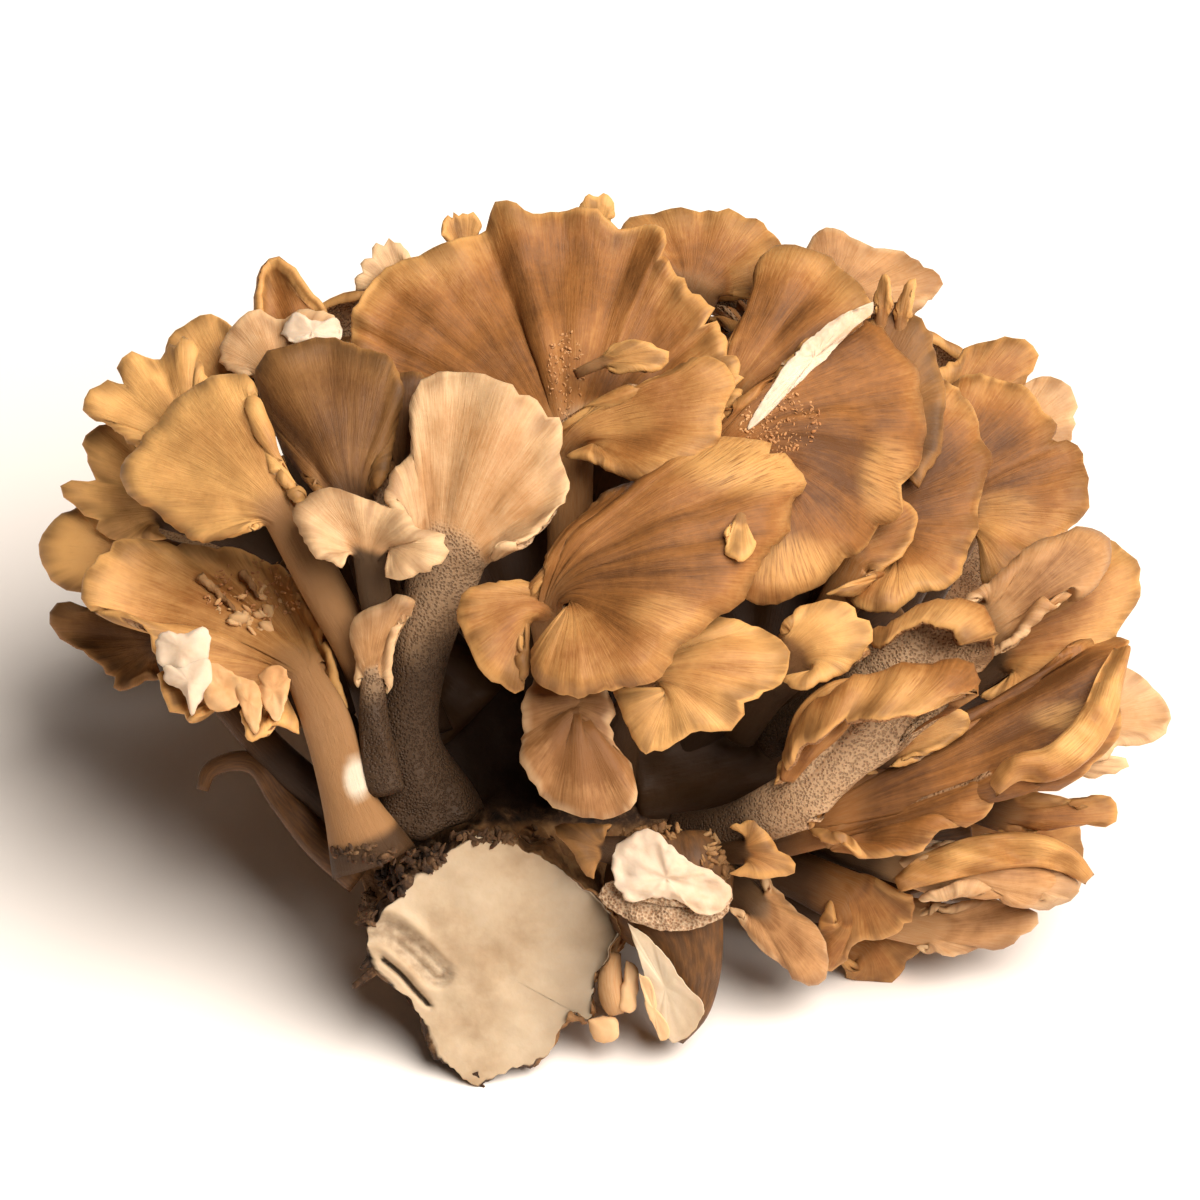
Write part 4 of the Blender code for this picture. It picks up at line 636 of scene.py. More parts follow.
          [(-6, 62, -40, 6, 5), (-28, 55, -26, 7, 4.2), (-44, 48, -13, 8, 3)],
          [(-46, 64, -5), (-60, 65, -7), (-75, 56, -13), (-82, 40, -19), (-73, 24, -25.5),
           (-58, 16, -25.5), (-43, 20, -16), (-34, 34, -4), (-33, 50, 0)], 3.0, (0.85, -20), (4, 1.0),
          plane=BACK),
    frond("back_mid_left", "tan",
          [(8, 70, -24, 6, 5), (18, 70, -10, 7, 4.2), (28, 70, 4, 8, 3)],
          [(5, 58, 20), (5, 74, 25), (16, 84, 24), (34, 87, 19), (54, 84, 10), (70, 74, 1), (68, 58, 0),
           (50, 46, 6), (26, 45, 15), (12, 48, 19)], 3.0, (0.85, -40), (5, 1.0), plane=BACK),
    frond("back_mid_right", "tan",
          [(-2, 70, -24, 6, 5), (-14, 69, -10, 7, 4.2), (-26, 69, 6, 8, 3)],
          [(0, 56, 23), (0, 72, 27), (-12, 80, 26), (-32, 82, 22), (-54, 80, 12), (-70, 72, 3),
           (-67, 58, 2), (-48, 46, 7), (-22, 45, 17), (-8, 47, 21)], 3.0, (0.85, -40), (5, 1.0), plane=BACK),
    frond("back_top_left", "tan",
          [(8, 82, -20, 5, 5), (14, 86, -6, 6, 4), (20, 89, 4, 7, 2.5)],
          [(2, 87, 15), (3, 97, 16), (14, 101, 15), (30, 100, 10), (42, 92, 6), (48, 85, 6),
           (36, 79, 12), (16, 78, 16)], 2.5, (0.85, -50), (4, 1.0), plane=BACK),
    frond("back_top_right", "tan",
          [(-14, 85, 0, 4, 3.6), (-18, 85, 5, 5, 3), (-24, 84, 9, 6, 2.4)],
          [(-5, 82, 15), (-8, 89, 15), (-20, 91, 14), (-36, 88, 11), (-48, 84, 7), (-52, 79, 5),
           (-34, 74, 11), (-14, 74, 14)], 2.5, (0.85, -50), (4, 1.0), plane=BACK),
    frond("right_under_frond", "tan",
          [(22, 46, -22, 4, 3.4), (44, 42, -28, 4.4, 3), (61, 38.5, -32, 5, 2.2)],
          [(58, 44, -30), (70, 46, -36), (78, 42, -38), (80, 36, -39), (72, 30.5, -37.6),
           (60, 30, -34), (54, 34, -31)], 2.0, (0.85, -20)),
]

# Small fronds and leaves that stand for no solid, and dark inner ones behind the gaps: dark sheets that paint
# the shade of the hollows
EXTRAS = [
    frond("gap_leaf", "dark", [(-30, 80, 0, 2, 2), (-31, 90, 4, 2, 2), (-31.5, 97, 6, 2, 1.6)],
          [(-34.5, 99, 8), (-34.5, 106, 8), (-32.5, 114, 8), (-29, 115, 9), (-28, 107, 10), (-28, 100, 10)]),
    frond("inner_right", "dark", [(10, 50, -12, 3, 3), (18, 58, -10, 3, 3), (25, 64, -8, 4, 2)],
          [(12, 66, -8), (12, 78, -8), (20, 88, -9), (32, 90, -9), (44, 84, -10), (50, 74, -10),
           (48, 62, -10), (36, 54, -9)], 1.0, (0.85, -40), (5, 0.6)),
    frond("inner_far_right", "dark", [(30, 46, -14, 3, 3), (40, 50, -11, 3, 3), (46, 54, -9, 3, 2)],
          [(44, 62, -8), (50, 72, -9), (62, 76, -10), (71, 68, -10), (70, 54, -10), (60, 44, -9),
           (50, 44, -8)], 1.0, (0.85, -40), (5, 0.6)),
    frond("inner_low_right", "dark", [(18, 34, -18, 3, 3), (26, 34, -14, 3, 3), (34, 35, -12, 3, 2)],
          [(34, 42, -11), (46, 46, -12), (60, 42, -14), (60, 35, -14), (46, 30, -13), (36, 29, -12)],
          0.5, (0.85, -40), (4, 0.5)),
    frond("inner_centre", "dark", [(-6, 50, -10, 3, 3), (-8, 60, -8, 3, 3), (-9, 66, -6, 4, 2)],
          [(-22, 72, -4), (-24, 86, -4), (-18, 98, -5), (-6, 102, -5), (6, 98, -6), (14, 86, -7),
           (12, 74, -7)], 1.0, (0.85, -40), (6, 0.6)),
    frond("inner_left", "dark", [(-34, 44, -4, 3, 3), (-38, 52, -3, 3, 3), (-42, 58, -3, 3, 2)],
          [(-53, 59, -4), (-57, 70, -5), (-54, 82, -6), (-44, 88, -5), (-36, 84, -4), (-32, 72, -3),
           (-34, 62, -3)], 1.0, (0.85, -40), (5, 0.6)),
    frond("hairy_bit", "pale", [(-30, 120, -12, 1.6, 1.6), (-31, 124, -11, 1.6, 1.4),
                                (-32, 128, -10, 1.6, 1.2)],
          [(-39.5, 128, -9), (-38.5, 132.5, -9), (-35.5, 136.4, -9), (-33, 135.6, -9), (-30, 133, -9)], 0.3,
          (0.9, -30), cuts=[(0.2, 2.0, 0.6), (0.42, 2.6, 0.6), (0.62, 2.0, 0.6)], soil=0.1),
    frond("crest_bit", "tan", [(-20, 128, -13, 1.6, 1.6), (-21, 132, -12.5, 1.6, 1.4),
                               (-22, 135, -12, 1.6, 1.2)],
          [(-25.6, 137, -11), (-25, 140.6, -11), (-21, 140.6, -11), (-19.3, 138, -11)], 0.3,
          (0.9, -30), cuts=[(0.4, 1.6, 0.5), (0.65, 1.2, 0.5)], soil=0.1),
    frond("crest_tip", "tan", [(-2, 132, -16, 1.6, 1.6), (-1.4, 135, -15, 1.6, 1.4),
                               (-0.8, 138, -14, 1.4, 1)],
          [(-3.5, 140, -13), (-2.8, 143, -13), (-0.5, 144.2, -13), (1.6, 143, -13), (2, 140, -13)], 0.3,
          soil=0.1),
    frond("top_tongue", "tan", [(-4, 114, 8, 0.8, 0.6), (-2, 115, 9.5, 0.9, 0.6), (0.5, 116, 10.5, 1, 0.6)],
          [(1.5, 118.4, 11), (6, 119.2, 12), (10.6, 117.6, 12), (10, 115.2, 13), (5, 114.4, 12.5),
           (1.5, 114.6, 12)], 0.4, soil=0.1),
    frond("front_tongue", "tan", [(22.6, 94, 25, 0.7, 0.5), (22.3, 92, 28, 0.8, 0.5), (22, 90.5, 30, 1, 0.6)],
          [(20.3, 88.5, 31), (20.1, 85.6, 32.5), (21.5, 84.2, 33.5), (23.5, 84.8, 33.5), (24.3, 87.5, 32.5)],
          0.1, soil=0.1),
    frond("finger_one", "tan", [(45, 120, -8, 0.8, 0.7), (45.2, 122, -7.5, 0.9, 0.7),
                                (45.5, 124, -7, 1, 0.7)],
          [(44.4, 125, -7), (45.2, 128.6, -7), (46.2, 131.2, -7), (46.9, 128.6, -7), (47, 125, -7)], 0.2,
          soil=0.1),
    frond("finger_two", "tan", [(48, 119, -8, 0.8, 0.7), (48.3, 121, -7.5, 0.9, 0.7),
                                (48.6, 123, -7, 1, 0.7)],
          [(47.4, 124, -7), (48.8, 127.4, -7), (50.6, 130.2, -7), (50.4, 127, -7), (50, 123.6, -7)], 0.2,
          soil=0.1),
    frond("rolled_underside", "pale", [(56, 33, -6, 1.6, 1.4), (60, 33, -5, 1.6, 1.3),
                                       (63, 33.4, -4.5, 1.6, 1.2)],
          [(63, 36, -3.4), (70, 35.8, -4), (76, 33.8, -5.5), (77.6, 31.4, -6), (72.6, 30, -4.6),
           (66, 32, -3)],
          0.5, (0.9, -30), (3, 0.3), soil=0.1),
    frond("right_bit", "pale", [(70, 52, -6, 1.2, 1), (73, 52, -5, 1.2, 1), (76, 51.8, -4, 1.2, 0.9)],
          [(77.4, 53.6, -4), (81, 53.4, -4), (85, 51.6, -5), (82, 50.2, -4), (78, 49.6, -4)], 0.3, soil=0.1),
]

# Plain stalks: drawing plane, colour, then x, y, d, half width and half depth along each
STALKS = {
    "left_branch": (FRONT, "tan", [(-20, 58, -15, 9, 8), (-36, 74, -17, 8, 7), (-47, 86, -17, 6.5, 6),
                                 (-56, 97, -17, 4.5, 4)]),
    "right_branch": (FRONT, "tan", [(4, 50, -15, 9, 8), (24, 54, -16, 8, 7), (42, 58, -18, 6.5, 6),
                                  (56, 62, -20, 4.5, 4)]),
    "top_branch": (FRONT, "tan", [(-2, 66, -24, 9, 8), (3, 84, -23, 8, 7), (7, 102, -23, 6.5, 6),
                                (10, 114, -23, 4.5, 4)]),
    "back_branch": (BACK, "tan", [(6, 66, -52, 11, 10), (4, 68, -36, 10, 9), (3, 70, -20, 8, 7)]),
    "second_stalk": (FRONT, "dark", [(12, 7, -4, 1.4, 1.4), (13.4, 12, -2, 4, 3.4), (13.8, 18, 0, 5.6, 4.4),
                             (13, 24, 2, 7, 5), (10.8, 30, 3, 10, 5.5), (11.4, 36, 4, 9.8, 5.5),
                             (11, 41, 3, 6.5, 4)]),
    "nub": (FRONT, "pale", [(2.2, 21.5, -1, 1.2, 1.2), (1.6, 17.5, 1, 2, 2), (2.2, 13.5, 1, 2, 1.9),
                          (2.8, 11.4, 0, 1.2, 1.2)]),
    "hooked_stem": (FRONT, "dark", [(-38, 34, 0, 3.6, 3.2), (-45, 39.5, 0, 3, 2.6), (-51, 46, -1, 2.2, 2),
                           (-56, 52, -2, 1.8, 1.6), (-60, 52, -2.5, 1.5, 1.4), (-63, 50.5, -3, 1.3, 1.3),
                           (-64, 47.5, -3, 1, 1)]),
}


# The cut base

# The cut face, in order around it, and the rings that lead back from it to the forks
CUT_FACE = [(-23.5, 38.2), (-21, 39.5), (-15.4, 39.4), (-11.2, 37.8), (-3.7, 32.6), (1.9, 27), (1.8, 22.4),
            (-0.5, 17.3), (-2.1, 10.7), (-4.6, 12.3), (-6.7, 9.1), (-7.7, 6.1), (-12.3, 3.5), (-17.4, 1.6),
            (-20, 0.4), (-21.9, 1.6), (-25.6, 5.1), (-27.5, 9.8), (-30, 13.3), (-37.3, 24.5), (-33.8, 29.1)]
CUT_SLOPE = 0.3
BARK_SWELL = 1.03
TRUNK_RINGS = [(-17, 25.5, 17.5, 19, -6), (-14, 42, 25, 27, -13), (-10, 54, 22, 20, -20),
               (-8, 64, 14, 12, -27)]
# The grey hollow at the cut face's left edge: the line along its middle and its half width
SPOON = [(-38.5, 26.0), (-34.0, 25.5), (-30.0, 22.5), (-26.0, 18.5)]
SPOON_HALF = 3.0
SPOON_DEPTH = 0.9
# The cleft below it, its shade painted dark: the same
CLEFT = [(-34.6, 20.6), (-32.0, 18.4), (-29.6, 15.6), (-27.6, 13.4)]
CLEFT_HALF = 0.5
CLEFT_DEPTH = 1.8
CUT_TURNS = -14.0      # right of here the cut face turns back
FACE_ROWS = 46
BARK_ROWS = 34
BASE_COLUMNS = 180


def base_skin():
    """The cut face, its crumbling bark edge and the trunk behind it, in plane millimetres."""
    outline = np.array(CUT_FACE + CUT_FACE[:1], float)
    places = np.linspace(0.0, 1.0, BASE_COLUMNS + 1)[:-1]
    ring = smooth_line(outline, places)
    middle = np.array(CUT_FACE).mean(axis=0)
    angles = np.arctan2(ring[:, 1] - middle[1], ring[:, 0] - middle[0])
    spokes = np.stack((np.cos(angles), np.sin(angles)), axis=1)
    crumble = ripple(ring, 4.0, 3)
    ring = ring + spokes * (0.35 * crumble + 0.2 * ripple(ring, 1.6, 4))[:, None]
    rows = []
    cut_notes = []
    for part in eased(FACE_ROWS, False, True)[1:]:
        flat = middle + (ring - middle) * part
        rows.append(np.column_stack((flat, CUT_SLOPE * flat[:, 1])))
        cut_notes.append(1.0)
    edge = rows[-1]
    bark = edge.copy()
    bark[:, :2] = middle + (edge[:, :2] - middle) * BARK_SWELL
    bark[:, 2] -= 3.0
    stations = [edge, bark]
    for x, y, half_width, half_height, d in TRUNK_RINGS:
        stations.append(np.column_stack((x + half_width * np.cos(angles), y + half_height * np.sin(angles),
                                         np.full(BASE_COLUMNS, float(d)))))
    stations = np.array(stations)
    reach = eased(BARK_ROWS, False, False)[1:]
    lines = np.array([smooth_line(stations[:, column], reach) for column in range(BASE_COLUMNS)])
    bark_grid = lines.transpose(1, 0, 2)
    grid = np.concatenate((np.array(rows), bark_grid))
    cut = np.concatenate((np.ones(FACE_ROWS - 1), np.zeros(BARK_ROWS - 1)))[:, None] * np.ones(BASE_COLUMNS)
    x, y = grid[..., 0], grid[..., 1]
    away = away_from(SPOON, grid)
    spoon = np.clip(1 - away / SPOON_HALF, 0.0, 1.0) * cut
    cleft = np.exp(-(away_from(CLEFT, grid) / CLEFT_HALF) ** 2) * cut
    face_relief = 0.35 * ripple(grid, 18.0, 11) + 0.12 * ripple(grid, 6.0, 12) + 0.04 * ripple(grid, 2.2, 13)
    turned_back = 0.02 * np.maximum(x - CUT_TURNS, 0.0) ** 2
    growth = 0.25 * np.sin(away * 5.0) * smooth_step(0.0, 0.3, spoon)
    lip = 0.7 * np.exp(-((away - SPOON_HALF) / 1.0) ** 2) * cut * smooth_step(24.0, 30.0, -x)
    grid[..., 2] += (cut * (face_relief - turned_back) - SPOON_DEPTH * smooth_step(0.0, 0.6, spoon)
                     + growth + lip - CLEFT_DEPTH * cleft)
    lumps = 0.9 * ripple(grid, 7.0, 14) + 0.5 * ripple(grid, 2.8, 15) + 0.25 * ripple(grid, 1.3, 16)
    out_from = unit(grid - np.array((middle[0], middle[1], -20.0)))
    grid = grid + out_from * (lumps * (1 - cut))[..., None]
    bark_and_hollow_shade = np.exp(-((np.arange(len(grid)) - FACE_ROWS) / 7.0) ** 2)[:, None] * np.ones(BASE_COLUMNS)
    bark_and_hollow_shade = bark_and_hollow_shade * smooth_step(-0.35, 0.3, -spokes[:, 0] - 0.3 * spokes[:, 1])[None, :]
    # Above y 40 the trunk lies in the hollow between the stems: painted shade there
    bark_and_hollow_shade = np.maximum(bark_and_hollow_shade, 2.0 * smooth_step(40.0, 47.0, grid[..., 1]))
    # Painted shade on the cut face, darker towards the right where it turns away from the light
    shaded = cut * (0.55 + 0.75 * smooth_step(-24.0, 4.0, x))
    # dark: crumbling bark, and painted shade in the cleft, on the cut face's right and on the trunk in the
    # hollow
    dark = np.maximum(np.maximum(bark_and_hollow_shade, cleft * 2), shaded)
    return ring_skin(grid, {"cut": cut, "spoon": spoon, "dark": dark})


def away_from(line, grid):
    """Distance of each grid point, seen from the front, from a smooth line through x, y points."""
    flat = np.column_stack((np.array(line), np.zeros(len(line))))
    run = smooth_line(flat, np.linspace(0.0, 1.0, 24))[:, :2]
    return np.min(np.linalg.norm(grid[..., None, :2] - run, axis=-1), axis=-1)


def ring_skin(grid, notes):
    """A closed skin from rings around one body, closed at both ends by a middle point."""
    rows, columns = grid.shape[:2]
    numbers = np.arange(rows * columns).reshape(rows, columns)
    beside = np.roll(numbers, -1, axis=1)
    faces = np.stack((numbers[:-1], beside[:-1], beside[1:], numbers[1:]), axis=-1).reshape(-1, 4)
    ends = np.array([grid[0].mean(axis=0), grid[-1].mean(axis=0)])
    points = np.concatenate((grid.reshape(-1, 3), ends))
    near, far = np.full(columns, rows * columns), np.full(columns, rows * columns + 1)
    caps = np.concatenate((np.stack((near, beside[0], numbers[0], NONE * near), axis=-1),
                           np.stack((far, numbers[-1], beside[-1], NONE * far), axis=-1)))
    faces = np.concatenate((faces, np.where(caps < 0, NONE, caps)))
    notes = {name: np.concatenate((values.reshape(-1), (values[0].mean(), values[-1].mean())))
             for name, values in notes.items()}
    return Skin(points, faces, notes)


def flesh_ring(grid, cut, dark):
    """A closed skin of cut or torn flesh with no hollow in it."""
    flat = np.zeros(grid.shape[:2])
    return ring_skin(grid, {"cut": flat + cut, "spoon": flat, "dark": flat + dark})


def stalk_skin(points, step, seed, soiled_and_shaded, lumps=0.3):
    """A plain stalk with round ends, in plane millimetres."""
    points = np.array(points, float)
    length = step_lengths(points).sum()
    rows = int(np.clip(length / step, 14, 90))
    columns = int(np.clip(points[:, 3].max() * 3 / step, 14, 60))
    line, ways, across = stem_rows(points, rows)
    side = 1 - 2 * eased(columns, True, True)
    grid = line[:, None, :3] + across[:, None] * (line[:, None, 3:4] * side[None, :, None])
    facing = np.cross(across, ways)
    facing = facing * np.sign(facing @ OUT)[:, None]
    along = arc_lengths(grid, 0)
    sideways = arc_lengths(grid, 1)
    sideways = np.minimum(sideways, sideways[:, -1:] - sideways)
    half = line[:, 4][:, None] * rounded(sideways, line[:, 3][:, None])
    half = half * rounded(along, 1.5) * rounded(along[-1:] - along, 1.5)
    grid = grid + facing[:, None] * (lumps * ripple(grid, 5.0, seed) * rounded(sideways, 1.0))[..., None]
    common = {"across": np.ones((rows, 1)) * side[None, :] * 6.0, "along": along,
              "rim": np.full(along.shape, 9.0), "fan": np.zeros(along.shape), "tone": np.zeros(along.shape),
              "pored": np.zeros(along.shape), "root": np.full(along.shape, soiled_and_shaded)}
    lift = facing[:, None] * half[..., None]
    return two_sided(grid + lift, grid - lift, dict(common, under=np.zeros(along.shape)),
                     dict(common, under=np.ones(along.shape)))


def roll_skin(points, seed, tone):
    """A rolled rim: a lumpy tube in a cap's colours."""
    roll = stalk_skin(points, GRID_STEP, seed, 0.0, 1.1)
    flat = np.zeros(len(roll.points))
    return Skin(roll.points, roll.faces, dict(roll.notes, fan=flat + 1, tone=flat + tone, under=flat))


def front_depth(places, ground):
    """How far out the visible side of some skins lies at places of the drawing plane."""
    low, high = places[..., :2].min(axis=(0, 1)) - 3, places[..., :2].max(axis=(0, 1)) + 3
    ground = ground[np.all((ground[:, :2] > low) & (ground[:, :2] < high), axis=1)]
    depth = np.empty(places.shape[:2])
    for index in np.ndindex(depth.shape):
        away = np.linalg.norm(ground[:, :2] - places[index][:2], axis=1)
        depth[index] = ground[away < max(1.0, away.min() + 0.5), 2].max()
    return depth


def slab_skin(outline, thick, seed, crown=0.6, lumps=0.25, step=0.6, ground=None, steep=40.0):
    """A flat piece with a closed outline of x, y, d points, crowned in front, in plane millimetres.

    Where the ground is given, the piece lies on it, d is how far above, and it strays from its middle level
    by no more than steep.
    """
    outline = np.array(outline + outline[:1], float)
    length = step_lengths(outline).sum()
    columns = int(np.clip(length / step, 20, 160))
    ring = smooth_line(outline, np.linspace(0.0, 1.0, columns + 1)[:-1])
    middle = outline[:-1].mean(axis=0)
    flat = unit((ring - middle) * FLAT)
    ring = ring + flat * (0.18 * ripple(ring, 3.0, seed) + 0.12 * ripple(ring, 1.2, seed + 1))[:, None]
    parts = eased(max(8, int(np.linalg.norm(ring - middle, axis=1).mean() / step)), False, True)[1:]
    front = np.array([middle + (ring - middle) * part for part in parts])
    shape = np.sqrt(np.clip(1 - parts ** 2, 0.0, 1.0))[:, None]
    relief = lumps * (ripple(front, 4.0, seed + 2) + 0.4 * ripple(front, 1.6, seed + 3))
    if ground is not None:
        depth = front_depth(front, ground)
        front[..., 2] += np.clip(depth, np.median(depth) - steep, np.median(depth) + steep)
    back = front[::-1][1:].copy()
    front[..., 2] += crown * shape + relief * rounded(1 - parts, 0.25)[:, None]
    back[..., 2] -= thick * np.sqrt(np.clip(1 - parts[::-1][1:] ** 2, 0.0, 1.0))[:, None]
    grid = np.concatenate((front, back))
    cut = np.concatenate((np.ones(len(front)), np.full(len(back), 0.75)))[:, None] * np.ones(columns)
    return flesh_ring(grid, cut, 0.0)


def thread_skin(points, half_width, dark):
    """A thin round thread or spur along a few points, tapering to its end."""
    line = smooth_line(points, np.linspace(0.0, 1.0, 14))
    way = unit(np.gradient(line, axis=0))
    across = unit(np.cross(way, OUT + 0.01))
    upward = np.cross(across, way)
    turn = 2 * np.pi * np.arange(THREAD_SIDES) / THREAD_SIDES
    taper = (half_width * np.linspace(1.0, 0.3, len(line)))[:, None, None]
    grid = line[:, None] + taper * (np.cos(turn)[:, None] * across[:, None]
                                    + np.sin(turn)[:, None] * upward[:, None])
    grid = grid + 0.25 * half_width * ripple(grid, 2.0, 9)[..., None]
    return flesh_ring(grid, 0.0, dark)


def crumb_skin(skin, x, y, half_x, half_y, count, size, seed, cut=0.0, dark=0.5):
    """Loose crumbs scattered over an oval patch of a skin's visible side."""
    chance = np.random.default_rng(seed)
    turn = 2 * np.pi * np.arange(THREAD_SIDES) / THREAD_SIDES
    rise = np.array([-0.9, -0.5, 0.0, 0.5, 0.9])[:, None]
    ball = np.stack((np.sqrt(1 - rise ** 2) * np.cos(turn), np.sqrt(1 - rise ** 2) * np.sin(turn),
                     rise * np.ones(THREAD_SIDES)), axis=-1)
    crumbs = []
    for _ in range(count):
        swing = chance.uniform(0, 2 * np.pi)
        reach = np.sqrt(chance.uniform())
        spot = np.array((x + half_x * reach * np.cos(swing), y + half_y * reach * np.sin(swing)))
        away = np.linalg.norm(skin.points[:, :2] - spot, axis=1)
        if away.min() > 1.0:
            continue
        near = skin.points[away < 1.2]
        nearest = np.argmin(away[away < 1.2] + 0.5 * (near[:, 2].max() - near[:, 2]))
        middle = np.array((spot[0], spot[1], near[nearest, 2]))
        stretch = size * chance.uniform(0.4, 1.1) * np.array((1.2, chance.uniform(0.3, 0.8), 0.45))
        lean = chance.uniform(0, np.pi)
        turned = np.array([[np.cos(lean), -np.sin(lean), 0], [np.sin(lean), np.cos(lean), 0], [0, 0, 1]])
        grid = middle + (ball * chance.uniform(0.7, 1.25, ball.shape) * stretch) @ turned
        crumbs.append(flesh_ring(grid, cut, dark))
    return joined(crumbs)


# Materials

EXPOSURE = 0.77        # colours are darkened by this, because the light is strong enough for a white floor
SHINE = 0.22


def colour(red, green, blue):
    """Linear colour of a value judged from 0 to 255, darkened by EXPOSURE."""
    parts = [part / 255 for part in (red, green, blue)]
    parts = [part / 12.92 if part <= 0.04 else ((part + 0.055) / 1.055) ** 2.4 for part in parts]
    return tuple(part * EXPOSURE for part in parts) + (1.0,)


class Wire:
    """A value that a shader node gives, open to plain arithmetic."""

    def __init__(self, finish, socket):
        self.finish = finish
        self.socket = socket

    def math(self, operation, first, second):
        return self.finish.add("ShaderNodeMath", {"operation": operation}, {0: first, 1: second}, 0)

    def __add__(self, other):
        return self.math("ADD", self, other)

    def __sub__(self, other):
        return self.math("SUBTRACT", self, other)

    def __rsub__(self, other):
        return self.math("SUBTRACT", other, self)

    def __mul__(self, other):
        return self.math("MULTIPLY", self, other)

    __radd__ = __add__


class Finish:
    """A material in the making."""

    def __init__(self, name):
        self.material = bpy.data.materials.new(name)
        self.material.use_nodes = True
        self.tree = self.material.node_tree
        self.tree.nodes.clear()
        self.place = self.add("ShaderNodeTexCoord", {}, {}, "Object")

    def add(self, kind, settings, sockets, output):
        """A node with its settings, then its sockets' values or wires; gives the wire of one output."""
        node = self.tree.nodes.new(kind)
        for name, value in settings.items():
            if name == "stops":
                ramp = node.color_ramp
                while len(ramp.elements) < len(value):
                    ramp.elements.new(1.0)
                for element, (position, shade) in zip(ramp.elements, value):
                    element.position = position
                    element.color = shade
            else:
                setattr(node, name, value)
        for name, value in sockets.items():
            if isinstance(value, Wire):
                self.tree.links.new(value.socket, node.inputs[name])
            else:
                node.inputs[name].default_value = value
        return Wire(self, node.outputs[output])

    def note(self, name):
        return self.add("ShaderNodeAttribute", {"attribute_name": name}, {}, "Fac")

    def point(self, x, y):
        return self.add("ShaderNodeCombineXYZ", {}, {"X": x, "Y": y}, "Vector")

    def noise(self, place, scale, detail=2.0, rough=0.5):
        return self.add("ShaderNodeTexNoise", {}, {"Vector": place, "Scale": scale, "Detail": detail,
                                                   "Roughness": rough}, "Fac")

    def cells(self, place, scale):
        return self.add("ShaderNodeTexVoronoi", {}, {"Vector": place, "Scale": scale}, "Distance")

    def step(self, value, low, high):
        """From 0 at low to 1 at high, smoothly."""
        return self.add("ShaderNodeMapRange", {"interpolation_type": "SMOOTHSTEP"},
                        {"Value": value, "From Min": low, "From Max": high}, "Result")

    def ramp(self, value, stops):
        return self.add("ShaderNodeValToRGB", {"stops": stops}, {"Fac": value}, "Color")

    def blend(self, first, second, part):
        return self.add("ShaderNodeMix", {"data_type": "RGBA"}, {0: part, 6: first, 7: second}, 2)

    def close(self, shade, rough, height, glow=0.12):
        """The shader itself. height is in millimetres."""
        bump = self.add("ShaderNodeBump", {}, {"Strength": 1.0, "Distance": MM, "Height": height}, "Normal")
        shader = self.add("ShaderNodeBsdfPrincipled", {}, {
            "Base Color": shade, "Roughness": rough, "Normal": bump, "Specular IOR Level": SHINE,
            "Subsurface Weight": glow, "Subsurface Radius": (1.0, 0.5, 0.25), "Subsurface Scale": 0.0018}, 0)
        self.add_output(shader)
        return self.material

    def add_output(self, shader):
        output = self.tree.nodes.new("ShaderNodeOutputMaterial")
        self.tree.links.new(shader.socket, output.inputs["Surface"])


PORE_WALL = colour(208, 168, 128)
PORE_HOLE = colour(132, 94, 64)
# Dark brown: dirt on the roots, and painted shade in the hollows, the cleft and on the cut face
SOIL_AND_SHADE = colour(54, 34, 18)
SCAR = colour(252, 232, 204)


